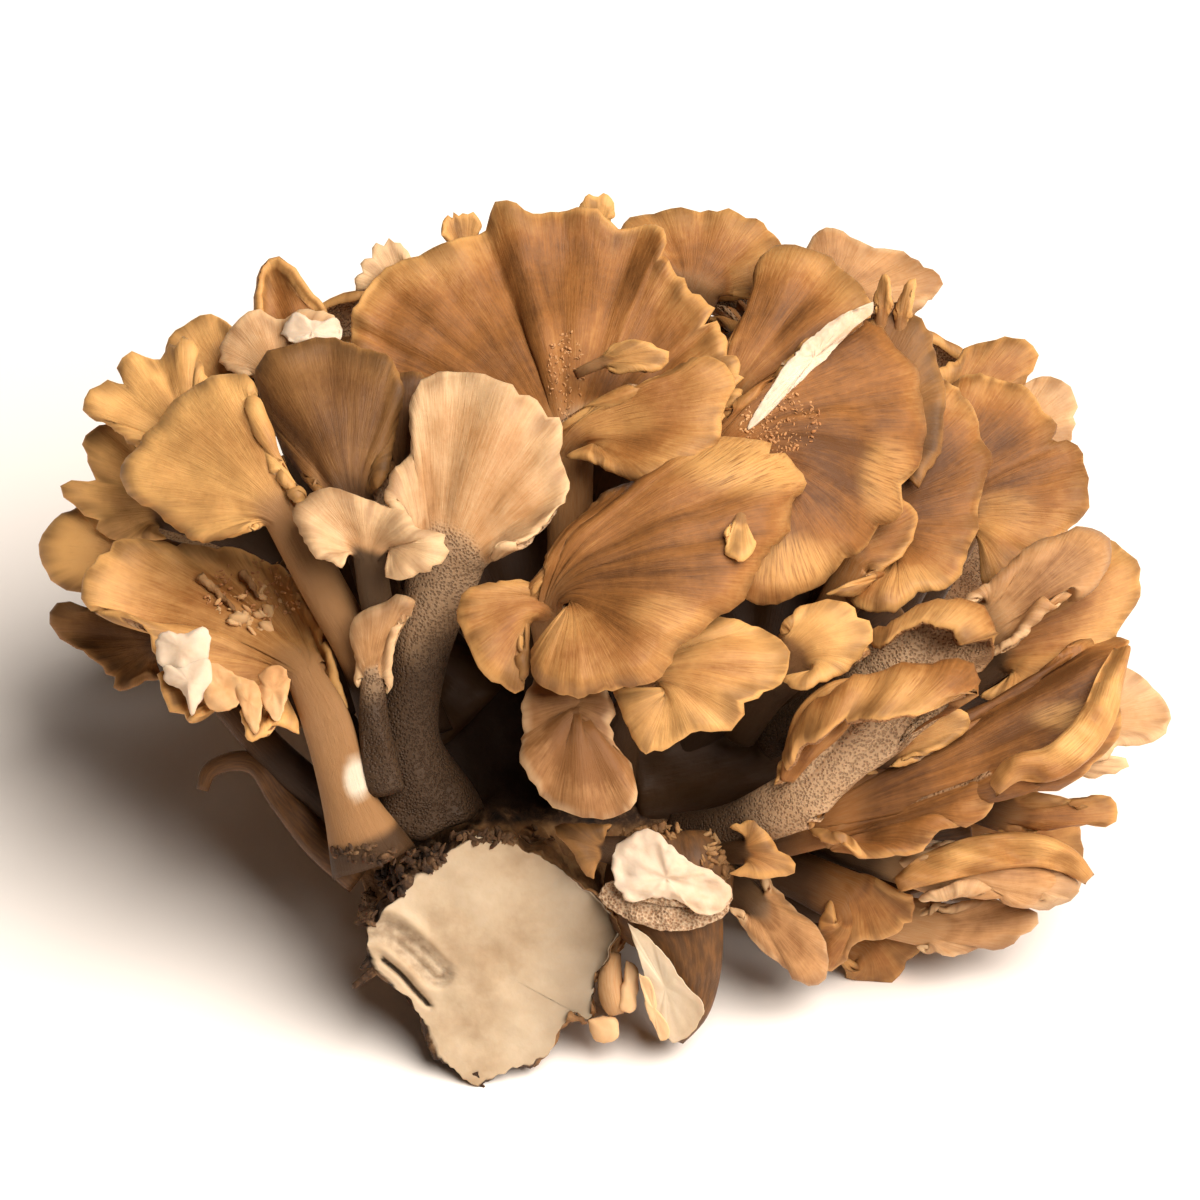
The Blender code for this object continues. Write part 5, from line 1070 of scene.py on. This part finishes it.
def cap_finish(name, light, middle, deep, dark_line, stem_shade):
    """A frond's skin: streaked towards its rim above, pored below."""
    finish = Finish(name)
    across, along, rim, fan_part, under, tone, pored, root, pale = (
        finish.note(note) for note in ("across", "along", "rim", "fan", "under", "tone", "pored", "root",
                                       "pale"))
    lanes = finish.point(across, along * 0.09)
    fine = finish.noise(lanes, 2.4, 4.0, 0.6)
    broad = finish.noise(lanes, 0.3, 2.0)
    mottles = finish.noise(finish.place, 62.0, 3.0)
    specks = finish.noise(finish.place, 750.0, 2.0)
    inward = finish.step(rim + (broad - 0.5) * 8.0, 1.0, 11.0)
    # tone lifts or darkens a whole frond: partly its own tone, partly painted light and shade
    level = (0.62 + tone - inward * 0.3 + (mottles - 0.5) * 0.72 + (broad - 0.5) * 0.5
             + (fine - 0.5) * 0.42 + (specks - 0.5) * 0.18)
    above = finish.ramp(level, [(0.08, deep), (0.4, middle), (0.95, light)])
    ragged = rim + (mottles - 0.5) * 3.0
    band = finish.step(ragged, 0.2, 1.0) * (1 - finish.step(ragged, 1.2, 6.0)) * finish.step(broad, 0.35, 0.6)
    above = finish.blend(above, dark_line, band * 0.6)
    edge = (1 - finish.step(rim, 0.3, 2.2)) * (1 - finish.step(broad, 0.45, 0.65))
    above = finish.blend(above, light, edge * 0.6)
    # Painted highlights where the highlight patches set the pale note
    above = finish.blend(above, light, pale * finish.step(fine, 0.2, 0.6))
    stem_grain = finish.noise(finish.point(across * 0.5, along * 0.12), 2.5, 3.0)
    stem = finish.blend(stem_shade, middle, finish.step(stem_grain + tone * -1.0, 0.35, 0.75))
    # The dark at the foot of a stem: partly dirt, partly painted shade of the hollows the stems stand in
    soiled_and_shaded = finish.step(root + (mottles - 0.5) * 1.2, 0.15, 0.85)
    stem = finish.blend(stem, SOIL_AND_SHADE, soiled_and_shaded * 0.88)
    # The pale note paints the stem scar, and any painted highlight that reaches a stem
    stem = finish.blend(stem, SCAR, pale)
    above = finish.blend(stem, above, finish.step(fan_part, 0.15, 0.8))
    cell = finish.cells(finish.place, 2100.0)
    hole = 1 - finish.step(cell, 0.2, 0.62)
    below = finish.blend(PORE_WALL, PORE_HOLE, hole * 0.5)
    below = finish.blend(below, middle, finish.step(mottles, 0.4, 0.8) * 0.6)
    bare = 1 - finish.step(rim, 0.3, 1.0)
    below = finish.blend(below, middle, bare * 0.7)
    # Pored stems darker still: painted shade of the hollow round them
    below = finish.blend(below, SOIL_AND_SHADE, pored * (1 - fan_part) * 0.5)
    below = finish.blend(below, SOIL_AND_SHADE, soiled_and_shaded * 0.88)
    pores = finish.step(under + pored * (1 - fan_part), 0.3, 0.7)
    shade = finish.blend(above, below, pores)
    height = ((fine - 0.5) * 0.12 + (specks - 0.5) * 0.1) * (1 - pores) - hole * 0.2 * pores
    rough = 0.55 + (fine - 0.5) * 0.25
    return finish.close(shade, rough, height)


def pore_finish(name):
    """Pored flesh torn open: fine pale ridges over brown."""
    finish = Finish(name)
    cell = finish.cells(finish.place, 2000.0)
    threads = finish.noise(finish.place, 420.0, 3.0)
    shade = finish.ramp(cell + (threads - 0.5) * 0.5, [(0.1, colour(150, 112, 80)),
                                                       (0.4, colour(192, 152, 116)),
                                                       (0.75, colour(224, 190, 154))])
    return finish.close(shade, 0.7, (cell - 0.5) * 0.4)


def cut_finish(name, light, middle, deep):
    """Cut or torn flesh in front, tan to dark crumbling bark behind, with painted shade where the dark note
    is high.
    """
    finish = Finish(name)
    cut, spoon, dark = finish.note("cut"), finish.note("spoon"), finish.note("dark")
    mottles = finish.noise(finish.place, 60.0, 3.0)
    threads = finish.noise(finish.place, 700.0, 3.0)
    flesh = finish.ramp(mottles + (threads - 0.5) * 0.15, [(0.25, deep), (0.44, middle), (0.66, light)])
    grey = finish.ramp(threads, [(0.3, colour(168, 140, 110)), (0.7, colour(212, 186, 154))])
    flesh = finish.blend(flesh, grey, finish.step(spoon, 0.0, 0.5))
    # Painted shade: the cut face darker towards its right and in the cleft
    flesh = finish.blend(flesh, SOIL_AND_SHADE, finish.step(dark, 0.6, 1.6) * 0.85)
    crumbs = finish.noise(finish.place, 380.0, 5.0, 0.65)
    crust = finish.ramp(crumbs, [(0.35, colour(34, 22, 14)), (0.52, colour(80, 54, 34)),
                                 (0.7, colour(140, 104, 70))])
    tan = finish.ramp(finish.noise(finish.place, 130.0, 5.0, 0.6),
                      [(0.3, colour(88, 58, 34)), (0.5, colour(150, 106, 64)), (0.72, colour(206, 158, 106))])
    bark = finish.blend(tan, crust, finish.step(dark + (mottles - 0.5), 0.1, 0.7))
    # Painted shade of the hollow on the trunk above the cut
    bark = finish.blend(bark, SOIL_AND_SHADE, finish.step(dark, 1.2, 1.8))
    shade = finish.blend(bark, flesh, finish.step(cut, 0.45, 0.95))
    height = (threads - 0.5) * 0.1 * cut + (crumbs - 0.5) * 0.8 * (1 - cut)
    return finish.close(shade, 0.7, height, glow=0.2)


# Pieces

def new_object(name, data):
    """A new object that is in the scene."""
    thing = bpy.data.objects.new(name, data)
    bpy.context.scene.collection.objects.link(thing)
    return thing


def add_piece(name, skin, plane, material, *nodes):
    """A smooth object from a skin, riding on the part in place of its solids."""
    mesh = bpy.data.meshes.new(name)
    faces = [face if face[3] != NONE else face[:3] for face in skin.faces.tolist()]
    mesh.from_pydata(to_world(plane, skin.points).tolist(), [], faces)
    for note, values in skin.notes.items():
        attribute = mesh.attributes.new(note, "FLOAT", "POINT")
        attribute.data.foreach_set("value", values.astype(np.float32))
    mesh.validate()
    mesh.shade_smooth()
    mesh.materials.append(material)
    piece = new_object(name, mesh)
    turn_outward(mesh)
    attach(piece, "root")
    if nodes:
        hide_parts(*nodes)
    return piece


def turn_outward(mesh):
    """Turn a closed skin inside out if its faces point inward."""
    points = np.empty(len(mesh.vertices) * 3)
    mesh.vertices.foreach_get("co", points)
    points = points.reshape(-1, 3)
    mesh.calc_loop_triangles()
    corners = np.empty(len(mesh.loop_triangles) * 3, dtype=int)
    mesh.loop_triangles.foreach_get("vertices", corners)
    a, b, c = (points[corners[start::3]] for start in range(3))
    if (a * np.cross(b, c)).sum() < 0:
        mesh.flip_normals()


FINISHES = {
    "tan": cap_finish("tan_cap", colour(240, 181, 109), colour(164, 106, 53), colour(106, 65, 30),
                      colour(96, 58, 28), colour(172, 124, 78)),
    "dark": cap_finish("dark_cap", colour(180, 128, 72), colour(124, 82, 44), colour(72, 46, 24),
                       colour(66, 42, 22), colour(92, 62, 36)),
    "pale": cap_finish("pale_cap", colour(246, 205, 156), colour(200, 146, 94), colour(140, 92, 50),
                       colour(136, 88, 48), colour(206, 160, 112)),
}

PATCH_CORE = 0.45      # how far out a pale patch has its full strength

# Soft pale patches, painted highlights on caps and rolls and the pale scar on the stem of torn_bowl_frond:
# x, y, half width, half height and strength
HIGHLIGHTS_AND_SCAR = {
    "torn_bowl_frond": [(-38.6, 49.8, 2.7, 4.2, 0.9)],
    "front_fan": [(24.0, 100.0, 15.0, 6.5, 0.75), (10.0, 76.0, 7.0, 4.0, 0.35), (-14.0, 85.0, 5.0, 8.0, 0.4)],
    "large_wavy_frond": [(76.0, 59.5, 9.0, 3.0, 0.5)],
    "top_fan": [(2.0, 107.0, 9.0, 4.0, 0.4)],
    "right_fan": [(30.0, 84.0, 10.0, 5.5, 0.6), (46.0, 97.0, 6.0, 9.0, 0.4), (35.0, 127.0, 7.0, 5.0, 0.3)],
    "crescent_fan": [(50.0, 80.5, 7.0, 4.0, 0.5)],
    "far_right_fan": [(66.0, 92.0, 7.0, 5.0, 0.35)],
    "pore_lip_upper": [(52.0, 75.0, 8.0, 3.0, 0.4)],
    "pore_lip_lower": [(46.0, 65.0, 9.0, 3.0, 0.35)],
    "wavy_roll": [(74.0, 56.0, 7.0, 5.0, 0.9), (81.0, 64.0, 3.0, 5.0, 0.6)],
    "lower_roll": [(56.0, 37.0, 6.0, 3.0, 0.9), (70.0, 38.5, 6.0, 2.5, 0.8)],
    "lower_rolled_frond": [(62.0, 38.5, 16.0, 3.0, 0.5)],
}


def highlight_and_scar_note(name, points):
    """How pale each point is made by its frond's patches: painted highlights, and the stem scar."""
    pale = np.zeros(len(points))
    for x, y, half_x, half_y, strength in HIGHLIGHTS_AND_SCAR.get(name, []):
        far = np.hypot((points[:, 0] - x) / half_x, (points[:, 1] - y) / half_y)
        pale = np.maximum(pale, strength * (1 - smooth_step(PATCH_CORE, 1.0, far)))
    return pale


skins = {}
for number, shape in enumerate(FRONDS + EXTRAS):
    hidden = shape.plane is BACK or shape.name.startswith("inner")
    step = BACK_STEP if hidden else GRID_STEP
    skins[shape.name] = frond_skin(shape, step, 101 * number + 7)
    skins[shape.name].notes["pale"] = highlight_and_scar_note(shape.name, skins[shape.name].points)
    solids = [shape.name] if number < len(FRONDS) else []
    piece = add_piece(shape.name + "_skin", skins[shape.name], shape.plane, FINISHES[shape.finish], *solids)
for number, (name, (plane, finish, points)) in enumerate(STALKS.items()):
    # The branches deep inside are dark all over: painted shade of the hollows they lie in
    soiled_and_shaded = float(name.endswith("branch"))
    skins[name] = stalk_skin(points, GRID_STEP, 17 * number + 5, soiled_and_shaded)
    piece = add_piece(name + "_skin", skins[name], plane, FINISHES[finish], name)

CUT_FLESH = cut_finish("cut_flesh", colour(226, 202, 171), colour(211, 183, 149), colour(180, 147, 111))
TORN_FLESH = cut_finish("torn_flesh", colour(246, 222, 196), colour(236, 206, 175), colour(204, 162, 120))
FLAP_SKIN = cut_finish("flap_skin", colour(240, 196, 146), colour(222, 166, 110), colour(180, 122, 72))
SCALE_SKIN = cut_finish("scale_skin", colour(226, 166, 112), colour(194, 130, 80), colour(146, 92, 54))
PORED_FLESH = pore_finish("pored_flesh")


def add_part(name, skin, material):
    """A piece that goes with the front's fronds but stands for no solid."""
    add_piece(name, skin, FRONT, material)


skins["base"] = base_skin()
add_piece("base_skin", skins["base"], FRONT, CUT_FLESH, "base")
add_part("base_spurs", joined([
    thread_skin([(-34.5, 20.5, 4), (-37, 18, 4), (-39.6, 16.2, 4)], 1.3, 1.0),
    thread_skin([(-35.5, 22, 5), (-37, 20.4, 5), (-38.6, 18.8, 5)], 1.0, 1.0),
    thread_skin([(-20, 2.5, 0.5), (-19.4, 0.8, 0), (-18.6, -0.2, 0)], 0.9, 1.0),
    thread_skin([(-5.2, 11.4, 2), (-3.4, 10.8, 2), (-1.9, 10.5, 2)], 0.9, 0.3)]), CUT_FLESH)
add_part("base_crumbs", joined([
    crumb_skin(skins["base"], -37.2, 28.4, 1.6, 2.6, 40, 1.1, 401, 0.0, 1.0),
    crumb_skin(skins["base"], -33.0, 33.0, 2.6, 2.4, 50, 1.1, 402, 0.0, 1.0),
    crumb_skin(skins["base"], -28.0, 37.2, 3.4, 2.0, 50, 1.0, 403, 0.0, 0.8),
    crumb_skin(skins["base"], -15.0, 40.4, 9.0, 1.2, 60, 0.8, 404, 0.0, 0.6),
    crumb_skin(skins["torn_bowl_frond"], -36.0, 37.6, 6.5, 1.6, 40, 0.8, 405, 0.0, 0.5)]), CUT_FLESH)

# Crumbs where caps and stems are torn or scaly
add_part("scales", joined([
    crumb_skin(skins["right_fan"], 28.8, 106.4, 6.6, 5.0, 230, 0.34, 411, 1.0, 0.0),
    crumb_skin(skins["top_fan"], -5.5, 114.5, 3.0, 7.0, 130, 0.3, 412, 1.0, 0.0),
    crumb_skin(skins["torn_bowl_frond"], -54.7, 79.5, 9.0, 5.0, 160, 0.36, 413, 1.0, 0.0)]), SCALE_SKIN)
add_part("stalk_crumbs", joined([
    crumb_skin(skins["second_stalk"], 7.4, 41.4, 5.5, 1.8, 70, 1.0, 414, 0.4, 0.0),
    crumb_skin(skins["second_stalk"], 18.6, 36.0, 2.4, 6.0, 70, 1.0, 415, 0.4, -0.1)]), FLAP_SKIN)


def lying(points):
    """Points of x, y and height above the bowl-shaped frond, in plane millimetres."""
    points = np.array(points, float)
    points[:, 2] += front_depth(points[None], skins["torn_bowl_frond"].points)[0]
    return points


add_part("bowl_crumbs", joined([
    crumb_skin(skins["torn_bowl_frond"], -55.4, 74.8, 3.6, 2.2, 16, 1.5, 421, 1.0, 0.0),
    crumb_skin(skins["torn_bowl_frond"], -57.0, 78.0, 6.0, 3.0, 18, 0.8, 422, 1.0, 0.0),
    thread_skin(lying([(-64.2, 81.8, 0.4), (-61.5, 79.5, 0.8), (-58.4, 76.4, 0.4)]), 0.9, 0.0),
    thread_skin(lying([(-57.4, 82.6, 0.4), (-56, 80.5, 0.8), (-54.6, 78.6, 0.4)]), 0.8, 0.0)]), FLAP_SKIN)

# Torn top, pored fringe, pale slices and lobes of the second stalk
add_part("stalk_torn_top", slab_skin(
    [(1.9, 37.6, 10), (3.4, 39.6, 10), (8.3, 41.6, 10.5), (11.4, 38.9, 11.5), (14.4, 36.4, 11.5),
     (19.2, 34, 11), (21, 32.1, 10.5), (19.4, 28.4, 11), (16.2, 28, 12), (12.4, 30.2, 12.5),
     (8.4, 30.6, 12), (4.8, 30, 11.5), (2.7, 32.4, 11), (1.9, 35, 10.5)], 5.0, 301, 1.2, 0.45), TORN_FLESH)
add_part("stalk_pores", slab_skin(
    [(-0.8, 30.8, 8), (2, 33.4, 9), (2.8, 32, 10), (4.8, 30.6, 10.6), (8.4, 31.2, 11), (12.4, 31, 11.4),
     (16.2, 29, 11), (19.6, 29.4, 10), (21, 31.9, 9.4), (20.4, 28.6, 9), (16.6, 26, 9.4), (12.8, 25.2, 9.6),
     (8.4, 25.8, 9.4), (4.8, 26.9, 9), (1.6, 28.8, 8.4)], 4.0, 302, 0.8, 0.5, 0.45), PORED_FLESH)
add_part("stalk_slice", slab_skin(
    [(4.4, 26.6, 8.5), (7.4, 24.6, 8), (10.6, 21, 7.5), (13.8, 16.6, 6), (16.8, 12.8, 4), (14.6, 8.6, 1),
     (12.2, 6.8, 0), (9.9, 9.2, 1.5), (8.4, 14, 4), (6.4, 20.6, 7)], 3.0, 311, 0.3, 0.12), CUT_FLESH)
add_part("stalk_lower_slice", slab_skin(
    [(6.2, 18.4, 6), (7.6, 17.6, 6), (9.2, 13, 4), (11, 8.2, 1.5), (10.2, 7.4, 1), (8.6, 10, 2.5),
     (7.2, 13.6, 4.5)], 2.0, 315, 0.3, 0.12), FLAP_SKIN)
add_part("nub_lobes", joined([
    slab_skin([(4.2, 20.6, 2), (5.8, 19, 2), (6, 15, 2), (5.2, 12, 2), (3.6, 12, 2.4), (3.4, 16, 2.6)],
              3.0, 316, 1.4, 0.1),
    slab_skin([(-1.8, 10.6, 0), (0.6, 11.4, 0.5), (3, 10.6, 0.4), (3.2, 8.4, 0), (1, 7, -0.6),
               (-1.4, 8, -0.4)],
              3.0, 317, 1.2, 0.1)]), FLAP_SKIN)

# The white edge of the folded frond, torn along its crease
VISIBLE = np.concatenate([skins[shape.name].points for shape in FRONDS if shape.plane is FRONT])
add_part("white_edge", slab_skin(
    [(43.8, 125.9, 0), (39.5, 124.2, 0), (35, 121.3, 0), (30.8, 117, 0), (26.8, 111.4, 0), (23.5, 105, 0),
     (25.4, 106.4, 0), (29.8, 110.8, 0), (34, 114.8, 0), (37.8, 118.6, 0), (41.2, 122.2, 0),
     (43.9, 124.6, 0)],
    2.0, 321, 0.6, 0.08, ground=VISIBLE), TORN_FLESH)

# The torn white foot of the curled frond
add_part("crest_torn_foot", slab_skin(
    [(-51.5, 121, 0), (-49, 124.6, 0), (-45.6, 122.8, 0), (-42.6, 123.6, 0), (-41.6, 120.4, 0),
     (-45, 118.6, 0), (-48.6, 119, 0)], 2.5, 325, 1.0, 0.25, ground=VISIBLE, steep=1.2), TORN_FLESH)

# Rolled rims of the fronds at the right; their raised tone is a painted highlight along the roll
ROLLS = {
    "wavy_roll": (501, 0.25, [(62, 47.6, 15, 1.2, 1.2), (66, 51.4, 16.5, 2.2, 1.7), (71, 52, 17.2, 2.8, 2),
                             (75.6, 55, 16.6, 3, 2.2), (79.4, 60, 13.6, 2.8, 2), (81.4, 65.5, 9.6, 2.2, 1.8),
                             (83.4, 70, 5.6, 1.3, 1.1)]),
    "lower_roll": (502, 0.25, [(47.4, 32.2, 1, 1.2, 1), (52, 34.6, 2, 2.4, 1.7), (58, 36.6, 1.5, 3, 2),
                               (64.5, 37.8, 0.4, 3, 2), (70.5, 37.8, -1.6, 2.7, 1.8),
                               (75.5, 36, -3.6, 2.1, 1.5),
                               (79, 33, -5.6, 1.1, 1)]),
    "lip_roll": (503, 0.15, [(29.6, 49.6, 17, 1.2, 1), (31.6, 54, 19.4, 2.6, 1.8), (34.4, 58.4, 20.6, 4, 2.2),
                             (38, 62, 20.6, 3.6, 2.2), (42, 64.4, 19.6, 1.8, 1.4)]),
}
for name, (seed, tone, points) in ROLLS.items():
    roll = roll_skin(points, seed, tone)
    roll.notes["pale"] = highlight_and_scar_note(name, roll.points)
    add_piece(name, roll, FRONT, FINISHES["tan"])

# Torn flesh and flaps on the bowl-shaped frond
add_part("bowl_torn_edge", joined([
    slab_skin([(-71, 71.7, 13.6), (-69.3, 73, 14), (-66, 72.8, 14.6), (-62.9, 73.9, 14.8), (-62.2, 68.5, 16),
               (-66.4, 66.8, 15.6), (-70.4, 68.2, 14.4)], 3.0, 331, 1.6, 0.25),
    slab_skin([(-69.6, 67.8, 14.6), (-68.8, 64.8, 15.6), (-66.6, 64, 16.2), (-64.6, 59.8, 17.2),
               (-63.2, 62.1, 17), (-61.4, 65.8, 16.6), (-62, 68.6, 16.2), (-66, 68.2, 15.6)], 3.0, 335,
              1.6, 0.25)]), TORN_FLESH)
add_part("bowl_flaps", joined([
    slab_skin([(-62.4, 68.4, 16), (-58.6, 67, 16.5), (-56.4, 62.6, 18), (-58.8, 60.6, 18.5),
               (-61.6, 60.6, 18)],
              2.0, 332, 0.8, 0.4),
    slab_skin([(-58.4, 66, 16.5), (-55, 65.4, 17), (-53.6, 61, 18.5), (-54.6, 56.8, 19.5),
               (-56.8, 60.6, 18.5)],
              2.0, 333, 0.8, 0.3),
    slab_skin([(-54.4, 66.4, 16), (-50.6, 68, 16), (-49.4, 63, 18), (-51.4, 58.8, 19), (-53.4, 61.6, 18)],
              2.0, 334, 0.8, 0.3)]), FLAP_SKIN)


# Floor, light and camera

FLOOR_HALF = 3.0
FLOOR_TINT = (0.95, 0.87, 0.8, 1.0)
FLOOR_ROUGHNESS = 0.6
KEY_PLACE = (1.06, -0.74, 1.93)
KEY_TARGET = (0.0, 0.0, 0.03)
KEY_SIZE = 2.3
KEY_POWER = 131.0
KEY_TINT = (1.0, 0.96, 0.91)
WORLD_TINT = (1.0, 0.84, 0.7, 1.0)
WORLD_STRENGTH = 0.05


def floor():
    half = FLOOR_HALF
    mesh = bpy.data.meshes.new("floor")
    mesh.from_pydata([(-half, -half, 0), (half, -half, 0), (half, half, 0), (-half, half, 0)], [],
                     [(0, 1, 2, 3)])
    finish = Finish("floor")
    shader = finish.add("ShaderNodeBsdfPrincipled", {},
                        {"Base Color": FLOOR_TINT, "Roughness": FLOOR_ROUGHNESS}, 0)
    finish.add_output(shader)
    mesh.materials.append(finish.material)
    new_object("floor", mesh)


def key_light():
    light = bpy.data.lights.new("key", "AREA")
    light.shape = "DISK"
    light.size = KEY_SIZE
    light.energy = KEY_POWER
    light.color = KEY_TINT
    aim(new_object("key", light), np.array(KEY_PLACE), np.array(KEY_TARGET))


def aim(thing, place, target):
    """Put a light or camera in place, looking at its target."""
    away = unit(place - target)
    right = unit(np.cross((0.0, 0.0, 1.0), away))
    up = np.cross(away, right)
    matrix = np.eye(4)
    matrix[:3, 0], matrix[:3, 1], matrix[:3, 2], matrix[:3, 3] = right, up, away, place
    thing.matrix_world = matrix.T.tolist()


def camera():
    data = bpy.data.cameras.new("camera")
    data.sensor_fit = "HORIZONTAL"
    data.sensor_width = SENSOR_WIDTH
    data.lens = SENSOR_WIDTH * CAMERA_AWAY / PHOTO_WIDTH
    data.clip_start = 0.05
    thing = new_object("camera", data)
    middle = to_world(FRONT, np.array(PHOTO_MIDDLE))
    aim(thing, middle + FRONT.out * CAMERA_AWAY * MM, middle)
    bpy.context.scene.camera = thing


floor()
key_light()
world = bpy.data.worlds.new("studio")
world.use_nodes = True
backdrop = world.node_tree.nodes["Background"].inputs
backdrop["Color"].default_value = WORLD_TINT
backdrop["Strength"].default_value = WORLD_STRENGTH
bpy.context.scene.world = world
bpy.context.scene.view_settings.view_transform = "Standard"
camera()
